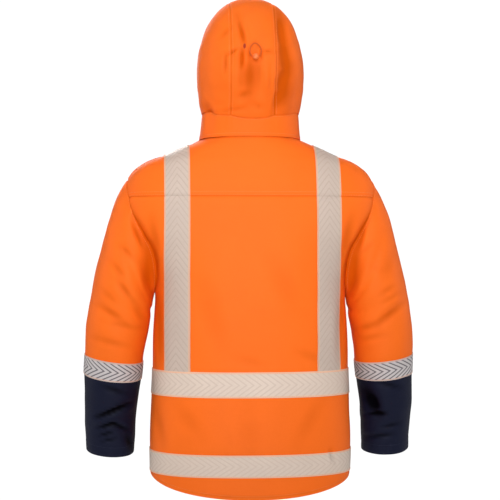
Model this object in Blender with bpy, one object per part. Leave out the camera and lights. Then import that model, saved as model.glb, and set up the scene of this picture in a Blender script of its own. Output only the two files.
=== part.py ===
"""Hooded hi-vis work jacket, zipped and filled out as worn, with nobody in it.

Metres, +Z up, +X is the wearer's left, the front faces -Y. The origin is at
the neck base, between the shoulders, where a wearer holds the jacket up.

Every cloth piece is a wall cut from one of three smooth forms: the torso, a
sleeve and the hood. A form gives a grid of points and outward normals, and a
piece is a range of that grid, 0.3 mm short of its neighbours at each seam.
"""
import math
from collections import namedtuple

import bmesh
import bpy
from mathutils import Vector

# ---- cloth, seams and tape ----
CLOTH = 0.0020            # softshell wall
COLLAR_CLOTH = 0.0030     # two layers with their turnings
TAPE = 0.0010             # reflective tape with its backing
ZIP_TAPE = 0.0015         # zip tape with its teeth
ZIP_RECESS = 0.0004       # how far the zip's face lies behind the fronts
SEAM = 0.0003             # space between neighbouring pieces
ARMHOLE_SEAM = 0.0005     # the same where the wall folds over at the armhole
TAPE_LIFT = 0.0004        # space between a tape and the panel under it
SHORT_DIAGONAL = 0.35     # short of this share of the other, a face's diagonal is its fold line
SEAM_NORMAL_LIMIT = 0.45  # least cosine that a mitred seam edge is worked from
SHARP_ANGLE = 50.0        # degrees between faces that shade as an edge
HALVINGS = 40             # steps of each search for a place on a form

# ---- heights on the torso ----
NECK_Z = 0.010
YOKE_SEAM_Z = -0.115
SHOULDER_TIP_Z = -0.0815
UNDERARM_Z = -0.3085
CREST_SEARCH_Z = -0.135   # the shoulder line lies above this height
WAIST_TAPE_TOP, WAIST_TAPE_BOTTOM = -0.459, -0.509
HEM_TAPE_TOP, HEM_TAPE_BOTTOM = -0.620, -0.664
HEM_SIDE_Z = -0.668
BACK_TAIL_DROP, FRONT_HEM_DROP = 0.040, 0.008
TAIL_ROUNDNESS = 0.6

# ---- widths on the torso ----
TORSO_POWER = 2.35        # squareness of a level section
NECK_HALF = 0.0825
BRACE_INNER, BRACE_OUTER = 0.1245, 0.1745
ZIP_EDGE = 0.0103         # front edge of each front
ZIP_TAPE_EDGE = 0.0100
ARMHOLE_DEPTH = 0.066     # half the armhole, front to back
FRONT_NECK_Z = -0.030
FRONT_NECK_SHAPE = 2.2
SHOULDER_EASE, NECK_EASE = 2.0, 1.15    # how much closer the yoke's upper rows lie

Level = namedtuple("Level", "height half_width back_depth front_depth")
TORSO = (
    Level(0.030, 0.0700, 0.0690, 0.0640),
    Level(0.010, 0.0825, 0.0750, 0.0700),
    Level(-0.006, 0.1147, 0.0820, 0.0780),
    Level(-0.018, 0.1450, 0.0870, 0.0840),
    Level(-0.0305, 0.1726, 0.0920, 0.0900),
    Level(-0.0427, 0.2050, 0.0965, 0.0960),
    Level(-0.0548, 0.2253, 0.1000, 0.1010),
    Level(-0.067, 0.2385, 0.1030, 0.1050),
    Level(-0.0815, 0.2485, 0.1065, 0.1090),
    Level(-0.1035, 0.2575, 0.1110, 0.1150),
    Level(-0.138, 0.2625, 0.1170, 0.1230),
    Level(-0.188, 0.2410, 0.1250, 0.1330),
    Level(-0.219, 0.2200, 0.1290, 0.1370),
    Level(-0.257, 0.2030, 0.1330, 0.1405),
    Level(-0.295, 0.1935, 0.1360, 0.1425),
    Level(-0.320, 0.1925, 0.1370, 0.1435),
    Level(-0.347, 0.1940, 0.1380, 0.1440),
    Level(-0.400, 0.1965, 0.1390, 0.1440),
    Level(-0.459, 0.1975, 0.1380, 0.1430),
    Level(-0.530, 0.2005, 0.1380, 0.1430),
    Level(-0.600, 0.2030, 0.1390, 0.1440),
    Level(-0.640, 0.2025, 0.1385, 0.1440),
    Level(-0.720, 0.1985, 0.1360, 0.1420),
)

# ---- rows of the torso grid, top to hem ----
YOKE_ROWS = 5
ARMHOLE_ROWS = 7
LOWER_LEVELS = (-0.336, -0.376, -0.417, WAIST_TAPE_TOP, -0.484, WAIST_TAPE_BOTTOM, -0.546, -0.583,
                HEM_TAPE_TOP, -0.642, HEM_TAPE_BOTTOM)
ROW_YOKE = YOKE_ROWS
ROW_UNDERARM = YOKE_ROWS + ARMHOLE_ROWS
ROW_WAIST_TOP = ROW_UNDERARM + 1 + LOWER_LEVELS.index(WAIST_TAPE_TOP)
ROW_WAIST_BOTTOM = ROW_UNDERARM + 1 + LOWER_LEVELS.index(WAIST_TAPE_BOTTOM)
ROW_HEM_TOP = ROW_UNDERARM + 1 + LOWER_LEVELS.index(HEM_TAPE_TOP)
ROW_HEM_BOTTOM = ROW_UNDERARM + 1 + LOWER_LEVELS.index(HEM_TAPE_BOTTOM)
ROW_HEM = ROW_HEM_BOTTOM + 1

# ---- columns of the torso grid, centre to side ----
NECK_COLUMNS = 4
COLUMN_BRACE_IN = NECK_COLUMNS + 1
COLUMN_BRACE_OUT = COLUMN_BRACE_IN + 2
OUTER_COLUMNS = 3
COLUMN_SIDE = COLUMN_BRACE_OUT + OUTER_COLUMNS

# ---- sleeve: rings from armhole to cuff, seen from the back ----
Ring = namedtuple("Ring", "outer_x outer_z inner_x inner_z half_depth centre_y back_drop")
SLEEVE = (
    Ring(0.2485, -0.0815, 0.1925, -0.3085, 0.0660, 0.000, 0.000),
    Ring(0.2680, -0.1130, 0.1952, -0.3150, 0.0705, 0.000, 0.000),
    Ring(0.2835, -0.1560, 0.1970, -0.3225, 0.0740, 0.000, 0.000),
    Ring(0.2960, -0.2000, 0.1982, -0.3310, 0.0755, 0.000, 0.000),
    Ring(0.3075, -0.2450, 0.1993, -0.3410, 0.0750, 0.000, 0.000),
    Ring(0.3180, -0.2900, 0.2010, -0.3540, 0.0735, -0.001, 0.001),
    Ring(0.3262, -0.3350, 0.2045, -0.3730, 0.0705, -0.003, 0.002),
    Ring(0.3318, -0.3810, 0.2098, -0.4030, 0.0670, -0.007, 0.005),
    Ring(0.3345, -0.4300, 0.2160, -0.4460, 0.0635, -0.013, 0.007),
    Ring(0.3350, -0.4690, 0.2207, -0.4810, 0.0603, -0.019, 0.009),
    Ring(0.3348, -0.5250, 0.2272, -0.5350, 0.0555, -0.030, 0.010),
    Ring(0.3340, -0.5750, 0.2318, -0.5830, 0.0520, -0.040, 0.010),
    Ring(0.3330, -0.6270, 0.2360, -0.6320, 0.0490, -0.051, 0.010),
)
RING_TAPE_TOP, RING_TAPE_BOTTOM = 8, 9
RING_CUFF = len(SLEEVE) - 1
EVEN_RINGS = 5            # rings over which the spacing round the sleeve evens out

# ---- hood: an egg about the ear line, cut at the face and the neck ----
HOOD_POWER = 2.2
HOOD_HALF = 0.1080
EAR_Y, EAR_Z = 0.0, 0.128
CENTRE_PANEL_HALF = 0.044
HOOD_LENGTH_STEPS = 14
HOOD_SIDE_STEPS = 9
HOOD_CENTRE_STEPS = 3     # each side of the middle
HOOD_SIDE_SPACING = 1.25  # closer rows beside the centre panel
HOOD_SEARCH_DEPTH = 0.2   # the back of the hood lies within this of the ear line
SideView = namedtuple("SideView", "place y z")
HOOD_OUTLINE = (
    SideView("face edge", -0.104, 0.252),
    SideView("brow", -0.075, 0.273),
    SideView("crown front", -0.035, 0.286),
    SideView("crown", 0.000, 0.2885),
    SideView("crown back", 0.040, 0.279),
    SideView("upper back", 0.078, 0.253),
    SideView("back high", 0.102, 0.215),
    SideView("back", 0.113, 0.172),
    SideView("back low", 0.112, 0.130),
    SideView("nape high", 0.103, 0.090),
    SideView("nape", 0.092, 0.060),
    SideView("neck seam", 0.0845, 0.040),
    SideView("under the nape", 0.055, -0.005),
    SideView("under", 0.000, -0.033),
    SideView("under the chin", -0.050, -0.012),
    SideView("chin", -0.095, 0.035),
    SideView("mouth", -0.150, 0.075),
    SideView("nose", -0.175, 0.128),
    SideView("forehead", -0.160, 0.200),
)
FACE_EDGE = (
    SideView("temple", -0.106, 0.215),
    SideView("eye", -0.107, 0.165),
    SideView("cheek", -0.099, 0.110),
    SideView("jaw", -0.086, 0.072),
    SideView("corner", -0.073, 0.047),
)
NECK_SIDE = SideView("under the ear", 0.030, 0.055)

Fold = namedtuple("Fold", "x_high z_high x_low z_low depth width")
HOOD_FOLDS = (
    Fold(-0.0645, 0.262, -0.0560, 0.075, 0.0060, 0.0080),
    Fold(0.0880, 0.090, 0.0850, 0.050, 0.0040, 0.0080),
    Fold(-0.1010, 0.090, -0.0960, 0.045, 0.0060, 0.0220),
    Fold(-0.0240, 0.150, -0.0290, 0.085, 0.0020, 0.0070),
    Fold(0.0280, 0.165, 0.0295, 0.085, 0.0020, 0.0070),
)
FOLDS_BEGIN_Y, FOLDS_FULL_Y = -0.02, 0.02
SleeveFold = namedtuple("SleeveFold", "around ring slant depth width")
SLEEVE_FOLDS = (
    SleeveFold(100.0, 2.6, 0.9, 0.0035, 0.55),
    SleeveFold(150.0, 4.6, -0.8, 0.0030, 0.60),
    SleeveFold(80.0, 6.2, 0.7, 0.0025, 0.60),
    SleeveFold(-95.0, 5.4, 0.8, 0.0040, 0.60),
    SleeveFold(-120.0, 6.9, -0.6, 0.0030, 0.50),
    SleeveFold(110.0, 10.6, -0.4, 0.0020, 0.45),
)
FOLD_REACH_AROUND = 55.0  # degrees

# ---- collar and hood band ----
COLLAR_BACK_HEIGHT, COLLAR_FRONT_HEIGHT = 0.060, 0.066
COLLAR_LEAN = 0.05
COLLAR_STEPS = 3
BAND_FOOT = ((-0.073, -0.014), (-0.035, -0.003), (0.000, 0.0005), (0.070, 0.003))   # depth, height
BAND_LIFT = 0.0015
BAND_STEPS = 2

# ---- zip slider and pull ----
SLIDER_BELOW_TOP = 0.018
SLIDER_WIDTH, SLIDER_LENGTH, SLIDER_THICK, SLIDER_CORNER = 0.0090, 0.0120, 0.0026, 0.0030
BAIL_WIDTH, BAIL_BAR, BAIL_LENGTH, BAIL_HEIGHT = 0.0018, 0.0010, 0.0080, 0.0034
BAIL_ROOT = 0.0002        # how far the bail's feet run into the slider
PULL_BAR_RADIUS = 0.0006
PULL_RAIL, PULL_HOLE, PULL_HOLE_LENGTH = 0.0014, 0.0036, 0.0070
PULL_TAB_LENGTH = 0.0200
PULL_CORNER, PULL_HOLE_CORNER = 0.0020, 0.0008

# ---- hood adjuster ----
TOGGLE_X, TOGGLE_Z, TOGGLE_RADIUS, TOGGLE_FLATNESS = -0.0030, 0.1570, 0.0060, 0.75
CORD_RADIUS = 0.0014
CordPoint = namedtuple("CordPoint", "x z lift")
ADJUSTER_CORD = (
    CordPoint(0.0045, 0.1570, 0.0052),
    CordPoint(0.0082, 0.1655, 0.0056),
    CordPoint(0.0062, 0.1758, 0.0054),
    CordPoint(-0.0018, 0.1822, 0.0050),
    CordPoint(-0.0096, 0.1776, 0.0054),
    CordPoint(-0.0134, 0.1675, 0.0056),
    CordPoint(-0.0105, 0.1570, 0.0052),
)
CORD_STEPS = 4            # points between two route points


# ---------------------------------------------------------------- curves
class Curve:
    """A smooth curve through (at, value) pairs that never overshoots them."""

    def __init__(self, pairs):
        pairs = sorted(pairs)
        self.at = [pair[0] for pair in pairs]
        self.value = [pair[1] for pair in pairs]
        steps = [(self.value[i + 1] - self.value[i]) / (self.at[i + 1] - self.at[i])
                 for i in range(len(pairs) - 1)]
        self.slope = [steps[0]]
        for before, after in zip(steps, steps[1:]):
            same_way = before * after > 0
            self.slope.append(2 * before * after / (before + after) if same_way else 0.0)
        self.slope.append(steps[-1])

    def __call__(self, at):
        if at <= self.at[0]:
            return self.value[0] + self.slope[0] * (at - self.at[0])
        if at >= self.at[-1]:
            return self.value[-1] + self.slope[-1] * (at - self.at[-1])
        i = max(k for k in range(len(self.at) - 1) if self.at[k] <= at)
        span = self.at[i + 1] - self.at[i]
        t = (at - self.at[i]) / span
        return ((1 + 2 * t) * (1 - t) ** 2 * self.value[i] + t * (1 - t) ** 2 * span * self.slope[i]
                + t * t * (3 - 2 * t) * self.value[i + 1] + t * t * (t - 1) * span * self.slope[i + 1])


def lerp(a, b, t):
    return a + (b - a) * t


def gradient(field, point, step=1e-5):
    """Outward unit normal of a form given as a field that grows outwards."""
    axes = (Vector((step, 0, 0)), Vector((0, step, 0)), Vector((0, 0, step)))
    return Vector([field(point + axis) - field(point - axis) for axis in axes]).normalized()


# ---------------------------------------------------------------- torso form
half_width = Curve([(row.height, row.half_width) for row in TORSO])
back_depth = Curve([(row.height, row.back_depth) for row in TORSO])
front_depth = Curve([(row.height, row.front_depth) for row in TORSO])
BACK, FRONT = 1, -1


def depth_at(z, side):
    return back_depth(z) if side == BACK else front_depth(z)


def torso_y(x, z, side):
    rest = max(0.0, 1 - (abs(x) / half_width(z)) ** TORSO_POWER)
    return side * depth_at(z, side) * rest ** (1 / TORSO_POWER)


def torso_field(point):
    depth = depth_at(point.z, BACK if point.y > 0 else FRONT)
    return (abs(point.x) / half_width(point.z)) ** TORSO_POWER + (abs(point.y) / depth) ** TORSO_POWER


def crest_height(x):
    """Height of the shoulder line at a distance from the middle."""
    high, low = NECK_Z, CREST_SEARCH_Z
    for _ in range(HALVINGS):
        middle = (high + low) / 2
        if half_width(middle) < x:
            high = middle
        else:
            low = middle
    return (high + low) / 2


def front_neck_height(x):
    return FRONT_NECK_Z + (NECK_Z - FRONT_NECK_Z) * min(1.0, x / NECK_HALF) ** FRONT_NECK_SHAPE


def hem_height(x, z_side, side):
    across = max(0.0, 1 - (x / half_width(z_side)) ** 2) ** TAIL_ROUNDNESS
    return z_side - across * (BACK_TAIL_DROP if side == BACK else FRONT_HEM_DROP)


ARMHOLE_MIDDLE = (SHOULDER_TIP_Z + UNDERARM_Z) / 2
ARMHOLE_HALF = (SHOULDER_TIP_Z - UNDERARM_Z) / 2
YOKE_ANGLE = math.acos((YOKE_SEAM_Z - ARMHOLE_MIDDLE) / ARMHOLE_HALF)


def armhole_angle(row):
    """Angle round the armhole, from the shoulder tip to the underarm, of a grid row."""
    if row <= ROW_YOKE:
        return YOKE_ANGLE * row / ROW_YOKE
    return lerp(YOKE_ANGLE, math.pi, (row - ROW_YOKE) / ARMHOLE_ROWS)


def armhole_point(angle, side):
    z = ARMHOLE_MIDDLE + ARMHOLE_HALF * math.cos(angle)
    y = ARMHOLE_DEPTH * math.sin(angle)
    rest = 1 - (y / depth_at(z, side)) ** TORSO_POWER
    return Vector((half_width(z) * rest ** (1 / TORSO_POWER), side * y, z))


def top_of_column(column, side):
    """x and z of the neckline or shoulder line at the top of a column."""
    start = 0.0 if side == BACK else ZIP_EDGE
    if column <= NECK_COLUMNS:
        turn = math.pi / 2 * (1 - column / NECK_COLUMNS)
        x = lerp(start, NECK_HALF, math.cos(turn) ** (2 / TORSO_POWER))
        return x, NECK_Z if side == BACK else front_neck_height(x)
    if column <= COLUMN_BRACE_OUT:
        x = lerp(BRACE_INNER, BRACE_OUTER, (column - COLUMN_BRACE_IN) / 2)
    else:
        x = lerp(BRACE_OUTER, half_width(SHOULDER_TIP_Z), (column - COLUMN_BRACE_OUT) / OUTER_COLUMNS)
    return x, crest_height(x)


def column_x(column, z, edge_angle, side):
    """x of a column on a level row, where edge_angle is the section angle of the last column."""
    start = 0.0 if side == BACK else ZIP_EDGE
    if column <= COLUMN_BRACE_IN:
        return lerp(start, BRACE_INNER, column / COLUMN_BRACE_IN)
    if column <= COLUMN_BRACE_OUT:
        return lerp(BRACE_INNER, BRACE_OUTER, (column - COLUMN_BRACE_IN) / 2)
    brace_angle = math.acos((BRACE_OUTER / half_width(z)) ** (TORSO_POWER / 2))
    angle = lerp(brace_angle, edge_angle, (column - COLUMN_BRACE_OUT) / OUTER_COLUMNS)
    return half_width(z) * math.cos(angle) ** (2 / TORSO_POWER)


def section_angle(point):
    return math.acos(min(1.0, (point.x / half_width(point.z)) ** (TORSO_POWER / 2)))


def armhole_place(row, side):
    """Number of an armhole row's point in the sleeve's first ring."""
    return row if side == BACK else (2 * ROW_UNDERARM - row) % (2 * ROW_UNDERARM)


def torso_point(column, row, side):
    """Point of the torso grid on the wearer's left (+X), outer face."""
    if column == COLUMN_SIDE and row <= ROW_UNDERARM:
        place = armhole_place(row, side)
        return armhole_point(armhole_angle(row), side) - ARMHOLE_SHIFTS[place]
    if row <= ROW_YOKE:
        below = 1 - row / ROW_YOKE
        seam_edge = section_angle(armhole_point(YOKE_ANGLE, side))
        x_top, z_top = top_of_column(column, side)
        ease = SHOULDER_EASE if column >= NECK_COLUMNS else NECK_EASE
        z = lerp(YOKE_SEAM_Z, z_top, 1 - (1 - below) ** ease)
        x = lerp(column_x(column, YOKE_SEAM_Z, seam_edge, side), x_top, below)
        return Vector((x, torso_y(x, z, side), z))
    if row <= ROW_UNDERARM:
        edge = armhole_point(armhole_angle(row), side)
        z, edge_angle = edge.z, section_angle(edge)
    else:
        z = LOWER_LEVELS[min(row, ROW_HEM_BOTTOM) - ROW_UNDERARM - 1]
        edge_angle = 0.0
    x = column_x(column, z, edge_angle, side)
    y = torso_y(x, z, side)
    if row == ROW_HEM:
        z = hem_height(x, HEM_SIDE_Z, side)
        scale = half_width(z) / half_width(HEM_TAPE_BOTTOM)
        x, y = x * scale, y * scale
    return Vector((x, y, z))


# ---------------------------------------------------------------- sleeve form
def sleeve_angles():
    """Section angles round the sleeve at the armhole: back rows down, then front rows up."""
    down = [armhole_angle(row) for row in range(ROW_UNDERARM + 1)]
    return down + [2 * math.pi - angle for angle in reversed(down[1:-1])]


def sleeve_fold(angle, ring):
    """Depth of the creases across the sleeve at a place on it."""
    depth = 0.0
    for fold in SLEEVE_FOLDS:
        around = (math.degrees(angle) - fold.around + 180) % 360 - 180
        along = ring - fold.ring - fold.slant * around / FOLD_REACH_AROUND
        fade = math.exp(-(around / FOLD_REACH_AROUND) ** 2)
        depth += fold.depth * fade * math.exp(-(along / fold.width) ** 2)
    return depth


def sleeve_grid():
    """Outer points of the left sleeve, one list for each ring."""
    start = sleeve_angles()
    count = len(start)
    grid = []
    for number, ring in enumerate(SLEEVE):
        evenness = min(1.0, number / EVEN_RINGS)
        middle = Vector(((ring.outer_x + ring.inner_x) / 2, ring.centre_y, (ring.outer_z + ring.inner_z) / 2))
        reach = Vector(((ring.outer_x - ring.inner_x) / 2, 0, (ring.outer_z - ring.inner_z) / 2))
        points = []
        for k, first in enumerate(start):
            angle = lerp(first, 2 * math.pi * k / count, evenness)
            if number == 0:
                side = BACK if k <= count / 2 else FRONT
                points.append(armhole_point(min(angle, 2 * math.pi - angle), side))
                continue
            shrink = 1 - sleeve_fold(angle, number) / ring.half_depth
            away = Vector((0, ring.half_depth, -ring.back_drop)) * math.sin(angle)
            points.append(middle + (reach * math.cos(angle) + away) * shrink)
        grid.append(points)
    return grid


def grid_normals(grid, wrap):
    """Unit normals of a point grid, right-handed from along-row to along-column."""
    rows, count = len(grid), len(grid[0])
    normals = []
    for j in range(rows):
        line = []
        for k in range(count):
            if wrap:
                across = grid[j][(k + 1) % count] - grid[j][k - 1]
            else:
                across = grid[j][min(k + 1, count - 1)] - grid[j][max(k - 1, 0)]
            along = grid[min(j + 1, rows - 1)][k] - grid[max(j - 1, 0)][k]
            line.append(across.cross(along).normalized())
        normals.append(line)
    return normals


def outward(normals, grid):
    """Normals turned to point away from the middle of their grid."""
    middle = sum((point for row in grid for point in row), Vector()) / sum(len(row) for row in grid)
    way = sum((point - middle).dot(normal) for row, line in zip(grid, normals)
              for point, normal in zip(row, line))
    return [[normal * (1 if way > 0 else -1) for normal in line] for line in normals]


SLEEVE_POINTS = sleeve_grid()
SLEEVE_NORMALS = outward(grid_normals(SLEEVE_POINTS, wrap=True), SLEEVE_POINTS)


def mitre(torso_normal, sleeve_normal):
    """Offset direction shared by both walls at the armhole seam, longer where they fold."""
    middle = (torso_normal + sleeve_normal).normalized()
    return middle / max(SEAM_NORMAL_LIMIT, middle.dot(torso_normal))


ARMHOLE_NORMALS = [mitre(gradient(torso_field, point), normal)
                   for point, normal in zip(SLEEVE_POINTS[0], SLEEVE_NORMALS[0])]


def seam_shifts():
    """Half a seam, square to the mitred edge and towards the sleeve, for each armhole point."""
    ring, following = SLEEVE_POINTS[0], SLEEVE_POINTS[1]
    shifts = []
    for k, normal in enumerate(ARMHOLE_NORMALS):
        along = ring[(k + 1) % len(ring)] - ring[k - 1]
        across = along.cross(normal).normalized()
        towards = (following[k] - ring[k]).dot(across)
        shifts.append(across * math.copysign(ARMHOLE_SEAM / 2, towards))
    return shifts


ARMHOLE_SHIFTS = seam_shifts()
SLEEVE_NORMALS[0] = ARMHOLE_NORMALS
SLEEVE_POINTS[0] = [point + shift for point, shift in zip(SLEEVE_POINTS[0], ARMHOLE_SHIFTS)]


def torso_normal(column, row, side):
    if column == COLUMN_SIDE and row <= ROW_UNDERARM:
        return ARMHOLE_NORMALS[armhole_place(row, side)]
    return gradient(torso_field, torso_point(column, row, side))


# ---------------------------------------------------------------- hood form
def turn_of(y, z):
    return math.atan2(z - EAR_Z, y - EAR_Y)


def outline_curve():
    """Distance of the side outline from the ear line, by direction, all the way round."""
    pairs = sorted((turn_of(row.y, row.z), math.hypot(row.y - EAR_Y, row.z - EAR_Z)) for row in HOOD_OUTLINE)
    before = [(angle - 2 * math.pi, reach) for angle, reach in pairs]
    after = [(angle + 2 * math.pi, reach) for angle, reach in pairs]
    return Curve(before + pairs + after)


hood_reach = outline_curve()


def hood_field(point):
    reach = math.hypot(point.y - EAR_Y, point.z - EAR_Z) / hood_reach(turn_of(point.y, point.z))
    return (abs(point.x) / HOOD_HALF) ** HOOD_POWER + reach ** HOOD_POWER


def hood_point(y, z):
    """Point of the hood on the wearer's left over a place in the side view."""
    reach = math.hypot(y - EAR_Y, z - EAR_Z) / hood_reach(turn_of(y, z))
    x = HOOD_HALF * max(0.0, 1 - reach ** HOOD_POWER) ** (1 / HOOD_POWER)
    return Vector((x, y, z))


def hood_fold(point):
    """Depth of the folds in the back of the hood at a point on it."""
    depth = 0.0
    for fold in HOOD_FOLDS:
        length = fold.z_high - fold.z_low
        along = (fold.z_high - point.z) / length
        inside = max(0.0, min(1.0, along))
        off = point.x - lerp(fold.x_high, fold.x_low, inside)
        past = (along - inside) * length
        depth += fold.depth * math.exp(-(off / fold.width) ** 2 - (past / (2 * fold.width)) ** 2)
    facing_back = max(0.0, min(1.0, (point.y - FOLDS_BEGIN_Y) / (FOLDS_FULL_Y - FOLDS_BEGIN_Y)))
    return depth * facing_back


PANEL_REACH = (1 - (CENTRE_PANEL_HALF / HOOD_HALF) ** HOOD_POWER) ** (1 / HOOD_POWER)
OUTLINE_TURNS = {row.place: turn_of(row.y, row.z) for row in HOOD_OUTLINE}
FACE_TURN, NECK_TURN = OUTLINE_TURNS["face edge"], OUTLINE_TURNS["neck seam"]


def seam_place(along):
    """Side-view y and z of the seam beside the centre panel, face (0) to neck (1)."""
    turn = lerp(FACE_TURN, NECK_TURN, along)
    reach = hood_reach(turn) * PANEL_REACH
    return Vector((EAR_Y + reach * math.cos(turn), EAR_Z + reach * math.sin(turn)))


FACE_CURVE_Y = Curve([(k, row.y) for k, row in enumerate((SideView("", *seam_place(0)),) + FACE_EDGE)])
FACE_CURVE_Z = Curve([(k, row.z) for k, row in enumerate((SideView("", *seam_place(0)),) + FACE_EDGE)])


def face_place(down):
    return Vector((FACE_CURVE_Y(down * len(FACE_EDGE)), FACE_CURVE_Z(down * len(FACE_EDGE))))


def side_place(along, down):
    """Side-view place in the side panel: along from face to nape, down from seam to neck."""
    corner = Vector(FACE_EDGE[-1][1:])
    neck_side = Vector(NECK_SIDE[1:])
    seam = seam_place(along)
    bottom = corner.lerp(neck_side, along)
    face = face_place(down)
    nape = seam_place(1).lerp(neck_side, down)
    ruled = seam.lerp(bottom, down) + face.lerp(nape, along)
    corners = face_place(0).lerp(seam_place(1), along).lerp(corner.lerp(neck_side, along), down)
    return ruled - corners


def mirrored(points, side):
    return [Vector((side * point.x, point.y, point.z)) for point in points]


def hood_side_grid(side):
    """Grid of a side panel, rows from the seam down, each from the face to the nape."""
    grid = []
    for j in range(HOOD_SIDE_STEPS + 1):
        down = (j / HOOD_SIDE_STEPS) ** HOOD_SIDE_SPACING
        row = [hood_point(*side_place(k / HOOD_LENGTH_STEPS, down)) for k in range(HOOD_LENGTH_STEPS + 1)]
        grid.append(mirrored(row, side))
    return grid


def hood_centre_grid():
    """Grid of the centre panel, rows across it from left to right, face to neck."""
    grid = []
    for k in range(HOOD_LENGTH_STEPS + 1):
        turn = lerp(FACE_TURN, NECK_TURN, k / HOOD_LENGTH_STEPS)
        row = []
        for j in range(-HOOD_CENTRE_STEPS, HOOD_CENTRE_STEPS + 1):
            x = CENTRE_PANEL_HALF * j / HOOD_CENTRE_STEPS
            reach = hood_reach(turn) * (1 - (abs(x) / HOOD_HALF) ** HOOD_POWER) ** (1 / HOOD_POWER)
            row.append(Vector((x, EAR_Y + reach * math.cos(turn), EAR_Z + reach * math.sin(turn))))
        grid.append(row)
    return grid


def field_normals(grid, field):
    return [[gradient(field, point) for point in row] for row in grid]


def folded(grid, normals):
    return [[point - normal * hood_fold(point) for point, normal in zip(row, line)]
            for row, line in zip(grid, normals)]


def hood_back_y(x, z):
    """Depth of the back of the hood over a place in the back view."""
    low, high = EAR_Y, EAR_Y + HOOD_SEARCH_DEPTH
    for _ in range(HALVINGS):
        middle = (low + high) / 2
        if hood_field(Vector((x, middle, z))) < 1:
            low = middle
        else:
            high = middle
    return (low + high) / 2


# ---------------------------------------------------------------- building walls
def pull_in(grid, top, bottom, start, end):
    """Draw the edges of a grid in along its own lines, by a length for each edge."""
    grid = [list(row) for row in grid]
    rows, count = len(grid), len(grid[0])
    for k in range(count):
        for edge, inner, amount in ((0, 1, top), (rows - 1, rows - 2, bottom)):
            way = grid[inner][k] - grid[edge][k]
            grid[edge][k] = grid[edge][k] + way.normalized() * amount
    for j in range(rows):
        for edge, inner, amount in ((0, 1, start), (count - 1, count - 2, end)):
            way = grid[j][inner] - grid[j][edge]
            grid[j][edge] = grid[j][edge] + way.normalized() * amount
    return grid


def split_faces(bm, row_of, column_of):
    """Split each face of a grid from its upper inner to its lower outer corner.

    A panel and the tape on it then fold along the same lines. A face that is
    far from square is split along its short diagonal.
    """
    for face in list(bm.faces):
        corners = list(face.verts)
        spots = {(vert[row_of], vert[column_of]) for vert in corners}
        if len(spots) < 4:
            continue
        first = max(range(4), key=lambda k: corners[k].co.z - abs(corners[k].co.x))
        lengths = [(corners[k].co - corners[k + 2].co).length for k in (0, 1)]
        if min(lengths) < SHORT_DIAGONAL * max(lengths):
            first = lengths.index(min(lengths))
        bmesh.utils.face_split(face, corners[first], corners[(first + 2) % 4])


def make_wall(name, grid, normals, material, thickness, lift=0.0, wrap=False):
    """Closed wall on a point grid, its inner face thickness below lift.

    The flat grid is doubled into a closed slab while it is flat, then both of
    its faces are carried to their places.
    """
    rows, count = len(grid), len(grid[0])
    columns = count if wrap else count - 1
    bm = bmesh.new()
    bmesh.ops.create_grid(bm, x_segments=columns, y_segments=rows - 1, size=1)
    row_of = bm.verts.layers.int.new("row")
    column_of = bm.verts.layers.int.new("column")
    for vert in bm.verts:
        vert[row_of] = round((vert.co.y + 1) / 2 * (rows - 1))
        vert[column_of] = round((vert.co.x + 1) / 2 * columns) % count
    if wrap:
        for vert in bm.verts:
            turn = 2 * math.pi * vert[column_of] / count
            vert.co = (math.cos(turn), math.sin(turn), vert[row_of])
        bmesh.ops.remove_doubles(bm, verts=bm.verts[:], dist=1e-4)
    outer = list(bm.verts)
    doubled = bmesh.ops.extrude_face_region(bm, geom=bm.faces[:], use_keep_orig=True)["geom"]
    inner = [item for item in doubled if isinstance(item, bmesh.types.BMVert)]
    for verts, height in ((outer, lift), (inner, lift - thickness)):
        for vert in verts:
            j, k = vert[row_of], vert[column_of]
            vert.co = grid[j][k] + normals[j][k] * height
    split_faces(bm, row_of, column_of)
    bmesh.ops.recalc_face_normals(bm, faces=bm.faces[:])
    if bm.calc_volume(signed=True) < 0:
        bmesh.ops.reverse_faces(bm, faces=bm.faces[:])
    return finish_object(name, bm, material)


def finish_object(name, bm, material):
    mesh = bpy.data.meshes.new(name)
    bm.to_mesh(mesh)
    bm.free()
    mesh.shade_smooth()
    mesh.set_sharp_from_angle(angle=math.radians(SHARP_ANGLE))
    mesh.materials.append(material)
    piece = bpy.data.objects.new(name, mesh)
    COLLECTION.objects.link(piece)
    return piece


def make_material(name, colour, roughness, metallic=0.0):
    material = bpy.data.materials.new(name)
    material.use_nodes = True
    shader = material.node_tree.nodes["Principled BSDF"]
    shader.inputs["Base Color"].default_value = (*colour, 1)
    shader.inputs["Roughness"].default_value = roughness
    shader.inputs["Metallic"].default_value = metallic
    material.diffuse_color = (*colour, 1)
    return material


# ---------------------------------------------------------------- torso pieces
def torso_range(first, last, top, bottom, side, hand):
    """Points and normals of columns first to last and rows top to bottom of one quarter."""
    points, normals = [], []
    for row in range(top, bottom + 1):
        spots = [torso_point(column, row, side) for column in range(first, last + 1)]
        lines = [torso_normal(column, row, side) for column in range(first, last + 1)]
        points.append(mirrored(spots, hand))
        normals.append(mirrored(lines, hand))
    return points, normals


def across_back(top, bottom):
    """Points and normals from side to side of the back."""
    left, left_normals = torso_range(0, COLUMN_SIDE, top, bottom, BACK, 1)
    right, right_normals = torso_range(1, COLUMN_SIDE, top, bottom, BACK, -1)
    points = [list(reversed(far)) + near for far, near in zip(right, left)]
    normals = [list(reversed(far)) + near for far, near in zip(right_normals, left_normals)]
    return points, normals


def make_back():
    half = SEAM / 2
    points, normals = across_back(0, ROW_YOKE)
    make_wall("back_yoke", pull_in(points, half, half, half, half), normals, ORANGE, CLOTH)
    points, normals = across_back(ROW_YOKE, ROW_HEM)
    make_wall("back_panel", pull_in(points, half, 0, half, half), normals, ORANGE, CLOTH)


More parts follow.
